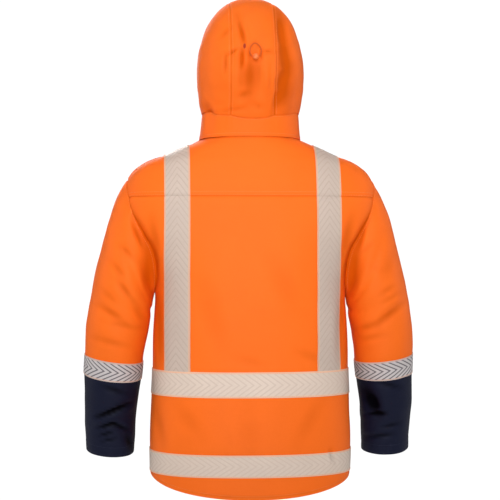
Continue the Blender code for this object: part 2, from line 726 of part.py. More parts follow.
def make_fronts():
    half = SEAM / 2
    for hand, word in ((1, "left"), (-1, "right")):
        points, normals = torso_range(0, COLUMN_SIDE, 0, ROW_HEM, FRONT, hand)
        make_wall("front_" + word, pull_in(points, half, 0, 0, half), normals, ORANGE, CLOTH)


def make_tapes():
    half = SEAM / 2
    hoops = (("waist", ROW_WAIST_TOP, ROW_WAIST_BOTTOM), ("hem", ROW_HEM_TOP, ROW_HEM_BOTTOM))
    for hoop, top, bottom in hoops:
        points, normals = across_back(top, bottom)
        points = pull_in(points, 0, 0, half, half)
        make_wall(hoop + "_tape_back", points, normals, SILVER, TAPE, TAPE_LIFT + TAPE)
        for hand, word in ((1, "left"), (-1, "right")):
            points, normals = torso_range(0, COLUMN_SIDE, top, bottom, FRONT, hand)
            points = pull_in(points, 0, 0, 0, half)
            make_wall(hoop + "_tape_front_" + word, points, normals, SILVER, TAPE, TAPE_LIFT + TAPE)
    for hand, word in ((1, "left"), (-1, "right")):
        back, back_normals = torso_range(COLUMN_BRACE_IN, COLUMN_BRACE_OUT, 0, ROW_WAIST_TOP, BACK, hand)
        front, front_normals = torso_range(COLUMN_BRACE_IN, COLUMN_BRACE_OUT, 1, ROW_WAIST_TOP, FRONT, hand)
        points = list(reversed(back)) + front
        normals = list(reversed(back_normals)) + front_normals
        points = pull_in(points, SEAM, SEAM, 0, 0)
        make_wall("brace_" + word, points, normals, SILVER, TAPE, TAPE_LIFT + TAPE)


# ---------------------------------------------------------------- sleeves
def make_sleeves():
    half = SEAM / 2
    pieces = (("sleeve_", 0, RING_TAPE_BOTTOM, ORANGE, CLOTH, 0.0, 0.0, half),
              ("forearm_", RING_TAPE_BOTTOM, RING_CUFF, NAVY, CLOTH, 0.0, half, 0.0),
              ("sleeve_tape_", RING_TAPE_TOP, RING_TAPE_BOTTOM, SILVER, TAPE, TAPE_LIFT + TAPE, 0.0, 0.0))
    for hand, word in ((1, "left"), (-1, "right")):
        for name, first, last, material, thickness, lift, top, bottom in pieces:
            points = [mirrored(ring, hand) for ring in SLEEVE_POINTS[first:last + 1]]
            normals = [mirrored(ring, hand) for ring in SLEEVE_NORMALS[first:last + 1]]
            points = pull_in(points, top, bottom, 0, 0)
            make_wall(name + word, points, normals, material, thickness, lift, wrap=True)


# ---------------------------------------------------------------- collar and zip
def neck_loop():
    """Neckline from the left front edge round the back to the right front edge."""
    front = [torso_point(column, 0, FRONT) for column in range(NECK_COLUMNS + 1)]
    back = [torso_point(column, 0, BACK) for column in reversed(range(NECK_COLUMNS))]
    left = front + back
    return left + mirrored(reversed(left[:-1]), -1)


def collar_point(base, up):
    """Point of the collar above a neckline point, leaning in as it rises."""
    frontness = max(0.0, -base.y / front_depth(FRONT_NECK_Z))
    height = lerp(COLLAR_BACK_HEIGHT, COLLAR_FRONT_HEIGHT, frontness)
    lean = COLLAR_LEAN * up * (1 - frontness)
    front_edge = math.copysign(ZIP_EDGE, base.x)
    x = front_edge + (base.x - front_edge) * (1 - COLLAR_LEAN * up)
    return Vector((x if base.x else 0.0, base.y * (1 - lean), base.z + SEAM + height * up))


def make_collar():
    grid = [[collar_point(base, j / COLLAR_STEPS) for base in neck_loop()] for j in range(COLLAR_STEPS + 1)]
    normals = outward(grid_normals(grid, wrap=False), grid)
    for line in normals:
        for edge in (0, -1):
            line[edge] = Vector((0, line[edge].y, line[edge].z)).normalized()
    make_wall("collar", grid, normals, ORANGE, COLLAR_CLOTH)


def zip_line(x):
    """Points down one line of the zip, from the collar's top to the hem."""
    edge = torso_point(0, 0, FRONT)
    line = []
    for j in reversed(range(COLLAR_STEPS + 1)):
        point = collar_point(edge, j / COLLAR_STEPS)
        line.append(Vector((x, point.y, point.z)))
    for row in range(1, ROW_HEM + 1):
        point = torso_point(0, row, FRONT)
        line.append(Vector((x, point.y, point.z)))
    return line


def make_zips():
    for hand, word in ((1, "left"), (-1, "right")):
        lines = [zip_line(hand * SEAM / 2), zip_line(hand * ZIP_TAPE_EDGE)]
        grid = [list(pair) for pair in zip(*lines)]
        normals = []
        for j in range(len(grid)):
            along = grid[min(j + 1, len(grid) - 1)][0] - grid[max(j - 1, 0)][0]
            normal = Vector((1, 0, 0)).cross(along).normalized()
            normals.append([-normal if normal.y > 0 else normal] * 2)
        make_wall("zip_" + word, grid, normals, NAVY, ZIP_TAPE, -ZIP_RECESS)


def rounded_box(width, depth, height, radius):
    """Box with its long edges rounded, middle at the origin."""
    bm = bmesh.new()
    bmesh.ops.create_cube(bm, size=1)
    bmesh.ops.scale(bm, vec=(width, depth, height), verts=bm.verts[:])
    edges = [edge for edge in bm.edges if abs(edge.verts[0].co.y - edge.verts[1].co.y) > depth / 2]
    bmesh.ops.bevel(bm, geom=edges, offset=radius, segments=3, profile=0.5, affect="EDGES", material=-1)
    return bm


def add_temp(name, bm, place):
    mesh = bpy.data.meshes.new(name)
    bmesh.ops.translate(bm, vec=place, verts=bm.verts[:])
    bm.to_mesh(mesh)
    bm.free()
    piece = bpy.data.objects.new(name, mesh)
    CUTTERS.objects.link(piece)
    piece.hide_render = True
    piece.display_type = "WIRE"
    return piece


def boolean(target, other, operation):
    modifier = target.modifiers.new(operation.lower(), "BOOLEAN")
    modifier.operation = operation
    modifier.object = other


def make_slider(seat):
    """Slider body with its bail; seat is the zip's face at the hinge height."""
    middle_y = seat.y - SEAM - SLIDER_THICK / 2
    bm = rounded_box(SLIDER_WIDTH, SLIDER_THICK, SLIDER_LENGTH, SLIDER_CORNER)
    bmesh.ops.translate(bm, vec=(0, middle_y, seat.z), verts=bm.verts[:])
    slider = finish_object("zip_slider", bm, METAL)
    face_y = seat.y - SEAM - SLIDER_THICK
    outer = rounded_box(BAIL_WIDTH, BAIL_HEIGHT, BAIL_LENGTH, 0.0)
    bail = add_temp("bail", outer, (0, face_y - BAIL_HEIGHT / 2 + BAIL_ROOT, seat.z))
    hole = rounded_box(BAIL_WIDTH * 2, BAIL_HEIGHT, BAIL_LENGTH - 2 * BAIL_BAR, 0.0)
    window = add_temp("bail_window", hole, (0, face_y - BAIL_HEIGHT / 2 + BAIL_BAR, seat.z))
    boolean(bail, window, "DIFFERENCE")
    boolean(slider, bail, "UNION")


def make_pull(seat):
    """Pull tab hanging from the bail; its object's origin is on the hinge."""
    clear = BAIL_HEIGHT - BAIL_BAR
    hinge = Vector((0, seat.y - SEAM - SLIDER_THICK - clear / 2, seat.z))
    width = PULL_HOLE + 2 * PULL_RAIL
    length = PULL_HOLE_LENGTH + PULL_TAB_LENGTH
    bm = rounded_box(width, 2 * PULL_BAR_RADIUS, length, PULL_CORNER)
    bmesh.ops.translate(bm, vec=(0, 0, -length / 2 + PULL_BAR_RADIUS), verts=bm.verts[:])
    pull = finish_object("zip_pull", bm, METAL)
    opening = PULL_HOLE_LENGTH - 2 * PULL_BAR_RADIUS
    hole = rounded_box(PULL_HOLE, 4 * PULL_BAR_RADIUS, opening, PULL_HOLE_CORNER)
    window = add_temp("pull_window", hole, (0, 0, -PULL_HOLE_LENGTH / 2))
    window.parent = pull
    boolean(pull, window, "DIFFERENCE")
    pull.location = hinge


# ---------------------------------------------------------------- hood
def make_hood():
    half = SEAM / 2
    centre = hood_centre_grid()
    normals = field_normals(centre, hood_field)
    make_wall("hood_centre", pull_in(folded(centre, normals), 0, half, half, half), normals, ORANGE, CLOTH)
    neck = {}
    for hand, word in ((1, "left"), (-1, "right")):
        grid = hood_side_grid(hand)
        normals = field_normals(grid, hood_field)
        grid = folded(grid, normals)
        make_wall("hood_side_" + word, pull_in(grid, half, half, 0, half), normals, ORANGE, CLOTH)
        nape = [row[-1] for row in grid[1:]]
        bottom = list(reversed(grid[-1][:-1]))
        neck[hand] = nape + bottom
    middle = folded([centre[-1]], field_normals([centre[-1]], hood_field))[0]
    return list(reversed(neck[1])) + list(reversed(middle)) + neck[-1]


band_level = Curve(BAND_FOOT)


def band_foot(top):
    """Place on the shoulders, just clear of them, under a point of the hood's neck seam."""
    side = BACK if top.y > 0 else FRONT
    level = band_level(top.y)
    wide, deep = half_width(level), depth_at(level, side)
    turn = math.atan2(abs(top.y) / deep, abs(top.x) / wide)
    x = wide * math.cos(turn) ** (2 / TORSO_POWER) * (1 if top.x > 0 else -1)
    point = Vector((x, side * deep * math.sin(turn) ** (2 / TORSO_POWER), level))
    outward = Vector((point.x, point.y, 0)).normalized()
    return point + gradient(torso_field, point) * BAND_LIFT + outward * CLOTH


def make_band(neck_edge):
    top = [point - Vector((0, 0, 2 * SEAM)) for point in neck_edge]
    foot = [band_foot(point) for point in top]
    grid = [[a.lerp(b, j / BAND_STEPS) for a, b in zip(top, foot)] for j in range(BAND_STEPS + 1)]
    normals = outward(grid_normals(grid, wrap=False), grid)
    flat = [[Vector((normal.x, normal.y, 0)).normalized() for normal in line] for line in normals]
    make_wall("hood_band", grid, flat, ORANGE, CLOTH)


def make_adjuster():
    surface = Vector((TOGGLE_X, hood_back_y(TOGGLE_X, TOGGLE_Z), TOGGLE_Z))
    normal = gradient(hood_field, surface)
    bm = bmesh.new()
    bmesh.ops.create_uvsphere(bm, u_segments=14, v_segments=8, radius=TOGGLE_RADIUS)
    bmesh.ops.scale(bm, vec=(1, 1, TOGGLE_FLATNESS), verts=bm.verts[:])
    turn = Vector((0, 0, 1)).rotation_difference(normal).to_matrix()
    bmesh.ops.rotate(bm, cent=(0, 0, 0), matrix=turn, verts=bm.verts[:])
    height = TOGGLE_RADIUS * TOGGLE_FLATNESS + SEAM
    bmesh.ops.translate(bm, vec=surface + normal * height, verts=bm.verts[:])
    finish_object("adjuster_toggle", bm, ORANGE)
    route = []
    for spot in ADJUSTER_CORD:
        base = Vector((spot.x, hood_back_y(spot.x, spot.z), spot.z))
        route.append(base + gradient(hood_field, base) * spot.lift)
    steps = range((len(route) - 1) * CORD_STEPS + 1)
    axes = [Curve([(k, point[axis]) for k, point in enumerate(route)]) for axis in range(3)]
    curve = bpy.data.curves.new("adjuster_cord", "CURVE")
    curve.dimensions = "3D"
    curve.bevel_depth = CORD_RADIUS
    curve.bevel_resolution = 2
    curve.use_fill_caps = True
    spline = curve.splines.new("POLY")
    spline.points.add(len(steps) - 1)
    for step in steps:
        at = step / CORD_STEPS
        spline.points[step].co = (axes[0](at), axes[1](at), axes[2](at), 1)
    curve.materials.append(ORANGE)
    cord = bpy.data.objects.new("adjuster_cord", curve)
    COLLECTION.objects.link(cord)


# ---------------------------------------------------------------- the jacket
for old in list(bpy.data.objects):
    bpy.data.objects.remove(old, do_unlink=True)
COLLECTION = bpy.data.collections.new("hi_vis_jacket")
CUTTERS = bpy.data.collections.new("cutters")
bpy.context.scene.collection.children.link(COLLECTION)
bpy.context.scene.collection.children.link(CUTTERS)

ORANGE = make_material("fluorescent_orange", (0.95, 0.19, 0.02), 0.75)
NAVY = make_material("navy_cloth", (0.012, 0.014, 0.04), 0.8)
SILVER = make_material("reflective_tape", (0.62, 0.58, 0.54), 0.45)
METAL = make_material("zip_metal", (0.30, 0.30, 0.32), 0.35, 0.9)

make_back()
make_fronts()
make_tapes()
make_sleeves()
make_collar()
make_zips()
collar_top = collar_point(torso_point(0, 0, FRONT), 1.0)
slider_seat = Vector((0, collar_top.y + ZIP_RECESS, collar_top.z - SLIDER_BELOW_TOP))
make_slider(slider_seat)
make_pull(slider_seat)
make_band(make_hood())
make_adjuster()
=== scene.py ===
"""Looks of a hooded hi-vis work jacket, filled out as worn.

Each cloth piece of the frame is replaced by a finer shell on the same form,
with its creases, seams and stitching. Metres, +Z up, the front faces -Y and
+X is the wearer's left. The stage is a pale floor under plain soft light.
"""
from __future__ import annotations

import bisect
import logging
import math
from dataclasses import dataclass, field, fields, replace
from enum import Enum
from typing import Callable, Iterable, Sequence

import bmesh
import bpy
import numpy as np
from mathutils import Matrix, Vector, noise

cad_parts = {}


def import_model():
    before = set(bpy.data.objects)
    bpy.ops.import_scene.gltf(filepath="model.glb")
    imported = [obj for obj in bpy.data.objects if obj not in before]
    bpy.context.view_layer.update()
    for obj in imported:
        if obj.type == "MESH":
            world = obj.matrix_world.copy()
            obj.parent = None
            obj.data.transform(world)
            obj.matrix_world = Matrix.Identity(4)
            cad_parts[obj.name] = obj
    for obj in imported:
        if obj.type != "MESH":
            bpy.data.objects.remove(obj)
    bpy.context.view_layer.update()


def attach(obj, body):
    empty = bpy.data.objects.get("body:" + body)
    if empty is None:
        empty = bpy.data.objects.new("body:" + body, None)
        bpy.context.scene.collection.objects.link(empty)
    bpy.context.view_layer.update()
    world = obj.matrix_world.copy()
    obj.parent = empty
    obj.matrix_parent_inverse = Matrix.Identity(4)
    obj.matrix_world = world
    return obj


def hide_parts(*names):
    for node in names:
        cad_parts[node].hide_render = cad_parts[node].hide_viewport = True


log = logging.getLogger("jacket")

BMesh, Material, Object, Scene = bmesh.types.BMesh, bpy.types.Material, bpy.types.Object, bpy.types.Scene
Node, Socket, Tree = bpy.types.Node, bpy.types.NodeSocket, bpy.types.NodeTree
Grid = np.ndarray
Line = tuple[Grid, Grid]  # points along a line and the normals there
Colour = tuple[float, float, float]

BODY = "jacket"
SHELL_THICK = 0.0017  # cloth seen at an edge
TAPE_THICK = 0.0010
TAPE_LIFT = 0.0004  # gap between the cloth and a tape
TAPE_TOP = TAPE_LIFT + TAPE_THICK
TAPE_WIDTH = 0.050  # width that the film's pattern is drawn for
TAPE_INSET = 0.0022  # from a tape's edge to its stitches
SHARP_ANGLE = 48.0  # degrees
SEARCH_STEPS = 36  # halvings that find a place on a form

CREASE_ENDS = 0.45  # share of a crease's depth at its two ends
CREASE_SWELL = 0.55  # share that it gains towards its middle
CREASE_TAIL = 1.6  # widths over which it fades past its ends
RIDGE_SHARE = 0.28  # height of the ridge beside a crease
RIDGE_PLACE = 2.0  # widths from a crease's line to its ridge


class Side(Enum):
    """Which half of the torso a surface belongs to."""

    BACK = 1
    FRONT = -1


class Slot(Enum):
    """Material slot of the frame that a piece dresses."""

    ORANGE = "orange_cloth"
    NAVY = "navy_cloth"
    TAPE = "reflective_tape"


class Hand(Enum):
    """The wearer's hand, by its sign along X."""

    LEFT = 1
    RIGHT = -1

    @property
    def word(self) -> str:
        """Lower-case name used in the frame's nodes."""
        return self.name.lower()


# --- curves
class Curve:
    """A smooth curve through (at, value) pairs that never overshoots them."""

    def __init__(self, pairs: Iterable[tuple[float, float]]) -> None:
        """Works out the slopes at the pairs, which come in any order."""
        ordered = sorted(pairs)
        self.at = [at for at, _ in ordered]
        self.value = [value for _, value in ordered]
        steps = [(self.value[i + 1] - self.value[i]) / (self.at[i + 1] - self.at[i])
                 for i in range(len(ordered) - 1)]
        self.slope = [steps[0]]
        for before, after in zip(steps, steps[1:]):
            self.slope.append(2 * before * after / (before + after) if before * after > 0 else 0.0)
        self.slope.append(steps[-1])

    def __call__(self, at: float) -> float:
        """Value at a place, straight on past either end."""
        if at <= self.at[0]:
            return self.value[0] + self.slope[0] * (at - self.at[0])
        if at >= self.at[-1]:
            return self.value[-1] + self.slope[-1] * (at - self.at[-1])
        i = bisect.bisect_right(self.at, at) - 1
        span = self.at[i + 1] - self.at[i]
        t = (at - self.at[i]) / span
        return ((1 + 2 * t) * (1 - t) ** 2 * self.value[i] + t * (1 - t) ** 2 * span * self.slope[i]
                + t * t * (3 - 2 * t) * self.value[i + 1] + t * t * (t - 1) * span * self.slope[i + 1])


def lerp(a: float, b: float, t: float) -> float:
    """Value a share t of the way from a to b."""
    return a + (b - a) * t


def last_where(holds: Callable[[float], bool], low: float, high: float) -> float:
    """Place at which a test stops holding, found by halving.

    Args:
        holds: the test.
        low: end where it holds.
        high: end where it doesn't.

    Returns:
        The place between them.
    """
    for _ in range(SEARCH_STEPS):
        middle = (low + high) / 2
        if holds(middle):
            low = middle
        else:
            high = middle
    return (low + high) / 2


def steps_between(first: float, last: float, count: int, close_to: Sequence[float] = ()) -> list[float]:
    """Even steps with a few closer ones beside seams.

    Args:
        first: lowest value.
        last: highest value.
        count: number of even intervals.
        close_to: values with a seam, which get extra steps on each side.

    Returns:
        Values in rising order.
    """
    pitch = (last - first) / count
    values = {round(first + pitch * k, 6) for k in range(count + 1)}
    for seam in close_to:
        for share in (0.22, 0.5):
            values |= {round(seam + way * share * pitch, 6) for way in (-1, 1)}
    return sorted(value for value in values if first - 1e-9 <= value <= last + 1e-9)


def in_mm(kind: type, *rows: tuple[float, ...]) -> tuple:
    """A table of one kind of size, from rows in millimetres."""
    return tuple(kind(*(part / 1000 for part in row)) for row in rows)


# --- forms
@dataclass(frozen=True)
class Level:
    """One level section of the torso."""

    height: float
    half_width: float
    back_depth: float
    front_depth: float


@dataclass
class TorsoForm:
    """The torso's smooth form, addressed by column (centre to side) and row (top to hem)."""

    power: float = 2.35
    neck_z: float = 0.010
    neck_half: float = 0.0825
    front_neck_z: float = -0.030
    front_neck_shape: float = 2.2
    yoke_seam_z: float = -0.115
    shoulder_tip_z: float = -0.0815
    underarm_z: float = -0.3085
    crest_low_z: float = -0.135
    centre_rise: float = 1.15
    shoulder_rise: float = 2.0
    armhole_depth: float = 0.066
    armhole_flare: float = 0.25
    sink_depth: float = 0.0042
    sink_angle: float = 112.0
    sink_spread: float = 44.0
    ease_height: float = 0.0008
    ease_spread: float = 48.0
    seam_least: float = 0.2
    seam_full_angle: float = 95.0
    brace_inner: float = 0.1245
    brace_outer: float = 0.1745
    zip_edge: float = 0.0103
    hem_side_z: float = -0.668
    back_tail_drop: float = 0.040
    front_hem_drop: float = 0.008
    tail_roundness: float = 0.6
    lower_levels: tuple[float, ...] = (-0.3085, -0.336, -0.376, -0.417, -0.459, -0.484, -0.509, -0.546,
                                       -0.583, -0.620, -0.642, -0.664)
    levels: tuple[Level, ...] = in_mm(
        Level,
        (30, 70, 69, 64), (10, 82.5, 75, 70), (-6, 114.7, 82, 78), (-18, 145, 87, 84),
        (-30.5, 172.6, 92, 90), (-42.7, 205, 96.5, 96), (-54.8, 225.3, 100, 101), (-67, 238.5, 103, 105),
        (-81.5, 248.5, 106.5, 109), (-103.5, 257.5, 111, 115), (-138, 262.5, 117, 123),
        (-188, 241, 125, 133), (-219, 220, 129, 137), (-257, 203, 133, 140.5), (-295, 193.5, 136, 142.5),
        (-320, 192.5, 137, 143.5), (-347, 194, 138, 144), (-400, 196.5, 139, 144), (-459, 197.5, 138, 143),
        (-530, 200.5, 138, 143), (-600, 203, 139, 144), (-640, 202.5, 138.5, 144), (-720, 198.5, 136, 142),
    )
    row_yoke: int = 5
    row_underarm: int = 12
    row_hem_bottom: int = 23
    row_hem: int = 24
    waist_tape_rows: tuple[int, int] = (16, 18)
    hem_tape_rows: tuple[int, int] = (21, 23)
    column_neck: int = 4
    column_brace_in: int = 5
    column_brace_out: int = 7
    column_side: int = 10

    def __post_init__(self) -> None:
        """Sets up the curves through the levels."""
        self.half_width = Curve((row.height, row.half_width) for row in self.levels)
        self.back_depth = Curve((row.height, row.back_depth) for row in self.levels)
        self.front_depth = Curve((row.height, row.front_depth) for row in self.levels)
        self.armhole_middle = (self.shoulder_tip_z + self.underarm_z) / 2
        self.armhole_half = (self.shoulder_tip_z - self.underarm_z) / 2
        self.yoke_angle = math.acos((self.yoke_seam_z - self.armhole_middle) / self.armhole_half)
        self.brace_columns = self.column_brace_out - self.column_brace_in
        self.side_columns = self.column_side - self.column_brace_out

    def depth(self, z: float, side: Side) -> float:
        """Half depth of a level section on one side."""
        return self.back_depth(z) if side is Side.BACK else self.front_depth(z)

    def y_at(self, x: float, z: float, side: Side) -> float:
        """Depth of the surface over a place in the back view."""
        rest = max(0.0, 1 - (abs(x) / self.half_width(z)) ** self.power)
        return side.value * self.depth(z, side) * rest ** (1 / self.power)

    def crest_height(self, x: float) -> float:
        """Height of the shoulder line at a distance from the middle."""
        return last_where(lambda z: self.half_width(z) >= x, self.crest_low_z, self.neck_z)

    def front_neck_height(self, x: float) -> float:
        """Height of the front neckline at a distance from the middle."""
        rise = min(1.0, x / self.neck_half) ** self.front_neck_shape
        return lerp(self.front_neck_z, self.neck_z, rise)

    def hem_height(self, x: float, side: Side) -> float:
        """Height of the hem's edge at a distance from the middle."""
        drop = self.back_tail_drop if side is Side.BACK else self.front_hem_drop
        across = max(0.0, 1 - (x / self.half_width(self.hem_side_z)) ** 2)
        return self.hem_side_z - across ** self.tail_roundness * drop

    def armhole_angle(self, row: float) -> float:
        """Angle round the armhole, from shoulder tip to underarm, of a row."""
        if row <= self.row_yoke:
            return self.yoke_angle * row / self.row_yoke
        return lerp(self.yoke_angle, math.pi, (row - self.row_yoke) / (self.row_underarm - self.row_yoke))

    def armhole_point(self, angle: float, side: Side) -> Vector:
        """Point of the left armhole's edge at an angle round it."""
        z = self.armhole_middle + self.armhole_half * math.cos(angle)
        y = self.armhole_depth * math.sin(angle)
        rest = 1 - (abs(y) / self.depth(z, side)) ** self.power
        return Vector((self.half_width(z) * rest ** (1 / self.power), side.value * abs(y), z))

    def armhole_way(self, angle: float) -> Grid:
        """Direction, away from the arm, that both pieces share at the left armhole seam."""
        outward = self.armhole_flare + self.armhole_flare * math.cos(angle)
        way = np.array([outward, math.sin(angle), math.cos(angle)])
        return way / np.linalg.norm(way)

    @staticmethod
    def degrees_from_tip(angle: float) -> float:
        """Degrees between the shoulder's tip and an angle round the armhole, on either side."""
        return math.degrees(min(angle, 2 * math.pi - angle))

    def armhole_sink(self, angle: float) -> float:
        """Depth to which the cloth sinks at the armhole seam, most above the underarm."""
        off = (self.degrees_from_tip(angle) - self.sink_angle) / self.sink_spread
        return self.sink_depth * math.exp(-off ** 2)

    def armhole_ease(self, angle: float) -> float:
        """Height by which the sleeve stands over the shoulder's tip, none below the shoulder."""
        return self.ease_height * math.exp(-(self.degrees_from_tip(angle) / self.ease_spread) ** 2)

    def armhole_seam(self, angle: float) -> float:
        """Share of the full seam that shows at an angle round the armhole: least on the shoulder."""
        share = min(1.0, (self.degrees_from_tip(angle) / self.seam_full_angle) ** 2)
        return lerp(self.seam_least, 1.0, share)

    def section_angle(self, point: Vector) -> float:
        """Angle of a surface point in its level section, 0 at the side."""
        return math.acos(min(1.0, (point.x / self.half_width(point.z)) ** (self.power / 2)))

    def top_of_column(self, column: float, side: Side) -> tuple[float, float]:
        """x and z of the neckline or shoulder line at the top of a column."""
        start = 0.0 if side is Side.BACK else self.zip_edge
        if column <= self.column_neck:
            turn = math.pi / 2 * (1 - column / self.column_neck)
            x = lerp(start, self.neck_half, math.cos(turn) ** (2 / self.power))
            return x, self.neck_z if side is Side.BACK else self.front_neck_height(x)
        if column <= self.column_brace_in:
            x = lerp(self.neck_half, self.brace_inner, column - self.column_neck)
        elif column <= self.column_brace_out:
            share = (column - self.column_brace_in) / self.brace_columns
            x = lerp(self.brace_inner, self.brace_outer, share)
        else:
            share = (column - self.column_brace_out) / self.side_columns
            x = lerp(self.brace_outer, self.half_width(self.shoulder_tip_z), share)
        return x, self.crest_height(x)

    def column_x(self, column: float, z: float, edge_angle: float, side: Side) -> float:
        """x of a column on a level row that ends at edge_angle."""
        start = 0.0 if side is Side.BACK else self.zip_edge
        if column <= self.column_brace_in:
            return lerp(start, self.brace_inner, column / self.column_brace_in)
        if column <= self.column_brace_out:
            share = (column - self.column_brace_in) / self.brace_columns
            return lerp(self.brace_inner, self.brace_outer, share)
        brace_angle = math.acos((self.brace_outer / self.half_width(z)) ** (self.power / 2))
        angle = lerp(brace_angle, edge_angle, (column - self.column_brace_out) / self.side_columns)
        return self.half_width(z) * math.cos(angle) ** (2 / self.power)

    def point(self, column: float, row: float, side: Side) -> Vector:
        """Surface point on the wearer's left, for any column and row.

        Args:
            column: 0 at the centre or zip to column_side.
            row: 0 at the top to row_hem.
            side: back or front.

        Returns:
            The point of the outer face.
        """
        if row <= self.row_yoke:
            return self.shoulder_point(column, row, side)
        if row <= self.row_underarm:
            edge = self.armhole_point(self.armhole_angle(row), side)
            z, edge_angle = edge.z, self.section_angle(edge)
        else:
            place = min(row, self.row_hem_bottom) - self.row_underarm
            low = min(int(place), len(self.lower_levels) - 2)
            z = lerp(self.lower_levels[low], self.lower_levels[low + 1], place - low)
            edge_angle = 0.0
        x = self.column_x(column, z, edge_angle, side)
        if row > self.row_hem_bottom:
            down = row - self.row_hem_bottom
            z_edge = self.hem_height(x, side)
            x *= lerp(1.0, self.half_width(z_edge) / self.half_width(z), down)
            z = lerp(z, z_edge, down)
        return Vector((x, self.y_at(x, z, side), z))

    def shoulder_point(self, column: float, row: float, side: Side) -> Vector:
        """Surface point above the yoke seam, on the wearer's left."""
        above = 1 - row / self.row_yoke
        seam_edge = self.section_angle(self.armhole_point(self.yoke_angle, side))
        x_top, z_top = self.top_of_column(column, side)
        rise = lerp(self.centre_rise, self.shoulder_rise, min(1.0, column / self.column_neck))
        z = lerp(self.yoke_seam_z, z_top, 1 - (1 - above) ** rise)
        x = lerp(self.column_x(column, self.yoke_seam_z, seam_edge, side), x_top, above)
        if column > self.column_brace_out:
            edge = self.armhole_point(self.armhole_angle(row), side)
            x_seam = self.column_x(self.column_side, self.yoke_seam_z, seam_edge, side)
            plain_x = lerp(x_seam, self.half_width(self.shoulder_tip_z), above)
            plain_z = lerp(self.yoke_seam_z, self.shoulder_tip_z, 1 - (1 - above) ** self.shoulder_rise)
            share = ((column - self.column_brace_out) / self.side_columns) ** 2
            x, z = x + share * (edge.x - plain_x), z + share * (edge.z - plain_z)
        return Vector((x, self.y_at(x, z, side), z))


@dataclass(frozen=True)
class Ring:
    """One section of the left sleeve, seen from the back."""

    outer_x: float
    outer_z: float
    inner_x: float
    inner_z: float
    half_depth: float
    centre_y: float
    back_drop: float


@dataclass(frozen=True)
class SleeveFold:
    """A crease across the sleeve, by angle round it and ring along it."""

    around: float
    ring: float
    slant: float
    depth: float
    width: float


@dataclass
class SleeveForm:
    """The left sleeve's smooth form, addressed by place round it and ring along it."""

    torso: TorsoForm
    rings: tuple[Ring, ...] = in_mm(
        Ring,
        (248.5, -81.5, 192.5, -308.5, 66, 0, 0), (268, -113, 195.2, -315, 70.5, 0, 0),
        (283.5, -156, 197, -322.5, 74, 0, 0), (296, -200, 198.2, -331, 75.5, 0, 0),
        (307.5, -245, 199.3, -341, 75, 0, 0), (318, -290, 201, -354, 73.5, -1, 1),
        (326.2, -335, 204.5, -373, 70.5, -3, 2), (331.8, -381, 209.8, -403, 67, -7, 5),
        (334.5, -430, 216, -446, 63.5, -13, 7), (335, -469, 220.7, -481, 60.3, -19, 9),
        (334.8, -525, 227.2, -535, 55.5, -30, 10), (334, -575, 231.8, -583, 52, -40, 10),
        (333, -627, 236, -632, 49, -51, 10),
    )
    folds: tuple[SleeveFold, ...] = (
        SleeveFold(100.0, 2.6, 0.9, 0.0035, 0.55), SleeveFold(150.0, 4.6, -0.8, 0.0030, 0.60),
        SleeveFold(80.0, 6.2, 0.7, 0.0025, 0.60), SleeveFold(-95.0, 5.4, 0.8, 0.0040, 0.60),
        SleeveFold(-120.0, 6.9, -0.6, 0.0030, 0.50), SleeveFold(110.0, 10.6, -0.4, 0.0020, 0.45),
    )
    fold_reach: float = 55.0
    even_rings: int = 5
    tape_top: int = 8
    tape_bottom: int = 9
    cuff: int = 12
    places: int = 24

    def __post_init__(self) -> None:
        """Sets up a curve along the sleeve for each size of a ring."""
        self.along = {part.name: Curve((k, getattr(ring, part.name)) for k, ring in enumerate(self.rings))
                      for part in fields(Ring)}

    def fold_depth(self, angle: float, ring: float) -> float:
        """Depth of the creases across the sleeve at a place on it."""
        depth = 0.0
        for fold in self.folds:
            around = (math.degrees(angle) - fold.around + 180) % 360 - 180
            along = ring - fold.ring - fold.slant * around / self.fold_reach
            depth += fold.depth * math.exp(-(around / self.fold_reach) ** 2 - (along / fold.width) ** 2)
        return depth

    def armhole_angle(self, place: float) -> float:
        """Angle round the armhole of a place, down the back and up the front."""
        if place <= self.places / 2:
            return self.torso.armhole_angle(place)
        return 2 * math.pi - self.torso.armhole_angle(self.places - place)

    def ellipse(self, angle: float, ring: float) -> Vector:
        """Point of a plain section at an angle round it."""
        size = {name: curve(ring) for name, curve in self.along.items()}
        middle = Vector(((size["outer_x"] + size["inner_x"]) / 2, size["centre_y"],
                         (size["outer_z"] + size["inner_z"]) / 2))
        reach = Vector(((size["outer_x"] - size["inner_x"]) / 2, 0, (size["outer_z"] - size["inner_z"]) / 2))
        away = Vector((0, size["half_depth"], -size["back_drop"])) * math.sin(angle)
        shrink = 1 - min(1.0, ring) * self.fold_depth(angle, ring) / size["half_depth"]
        return middle + (reach * math.cos(angle) + away) * shrink

    def point(self, place: float, ring: float) -> Vector:
        """Surface point of the left sleeve.

        Args:
            place: 0 at the outer top, round by the back, to places.
            ring: 0 at the armhole to cuff.

        Returns:
            The point of the outer face.
        """
        start = self.armhole_angle(place)
        angle = lerp(start, 2 * math.pi * place / self.places, min(1.0, ring / self.even_rings))
        point = self.ellipse(angle, ring)
        if ring < 1:
            side = Side.BACK if place <= self.places / 2 else Side.FRONT
            edge = self.torso.armhole_point(min(start, 2 * math.pi - start), side)
            point = point + (edge - self.ellipse(start, 0.0)) * (1 - ring) ** 2
        return point


@dataclass(frozen=True)
class SideView:
    """A place in the hood's side view."""

    place: str
    y: float
    z: float


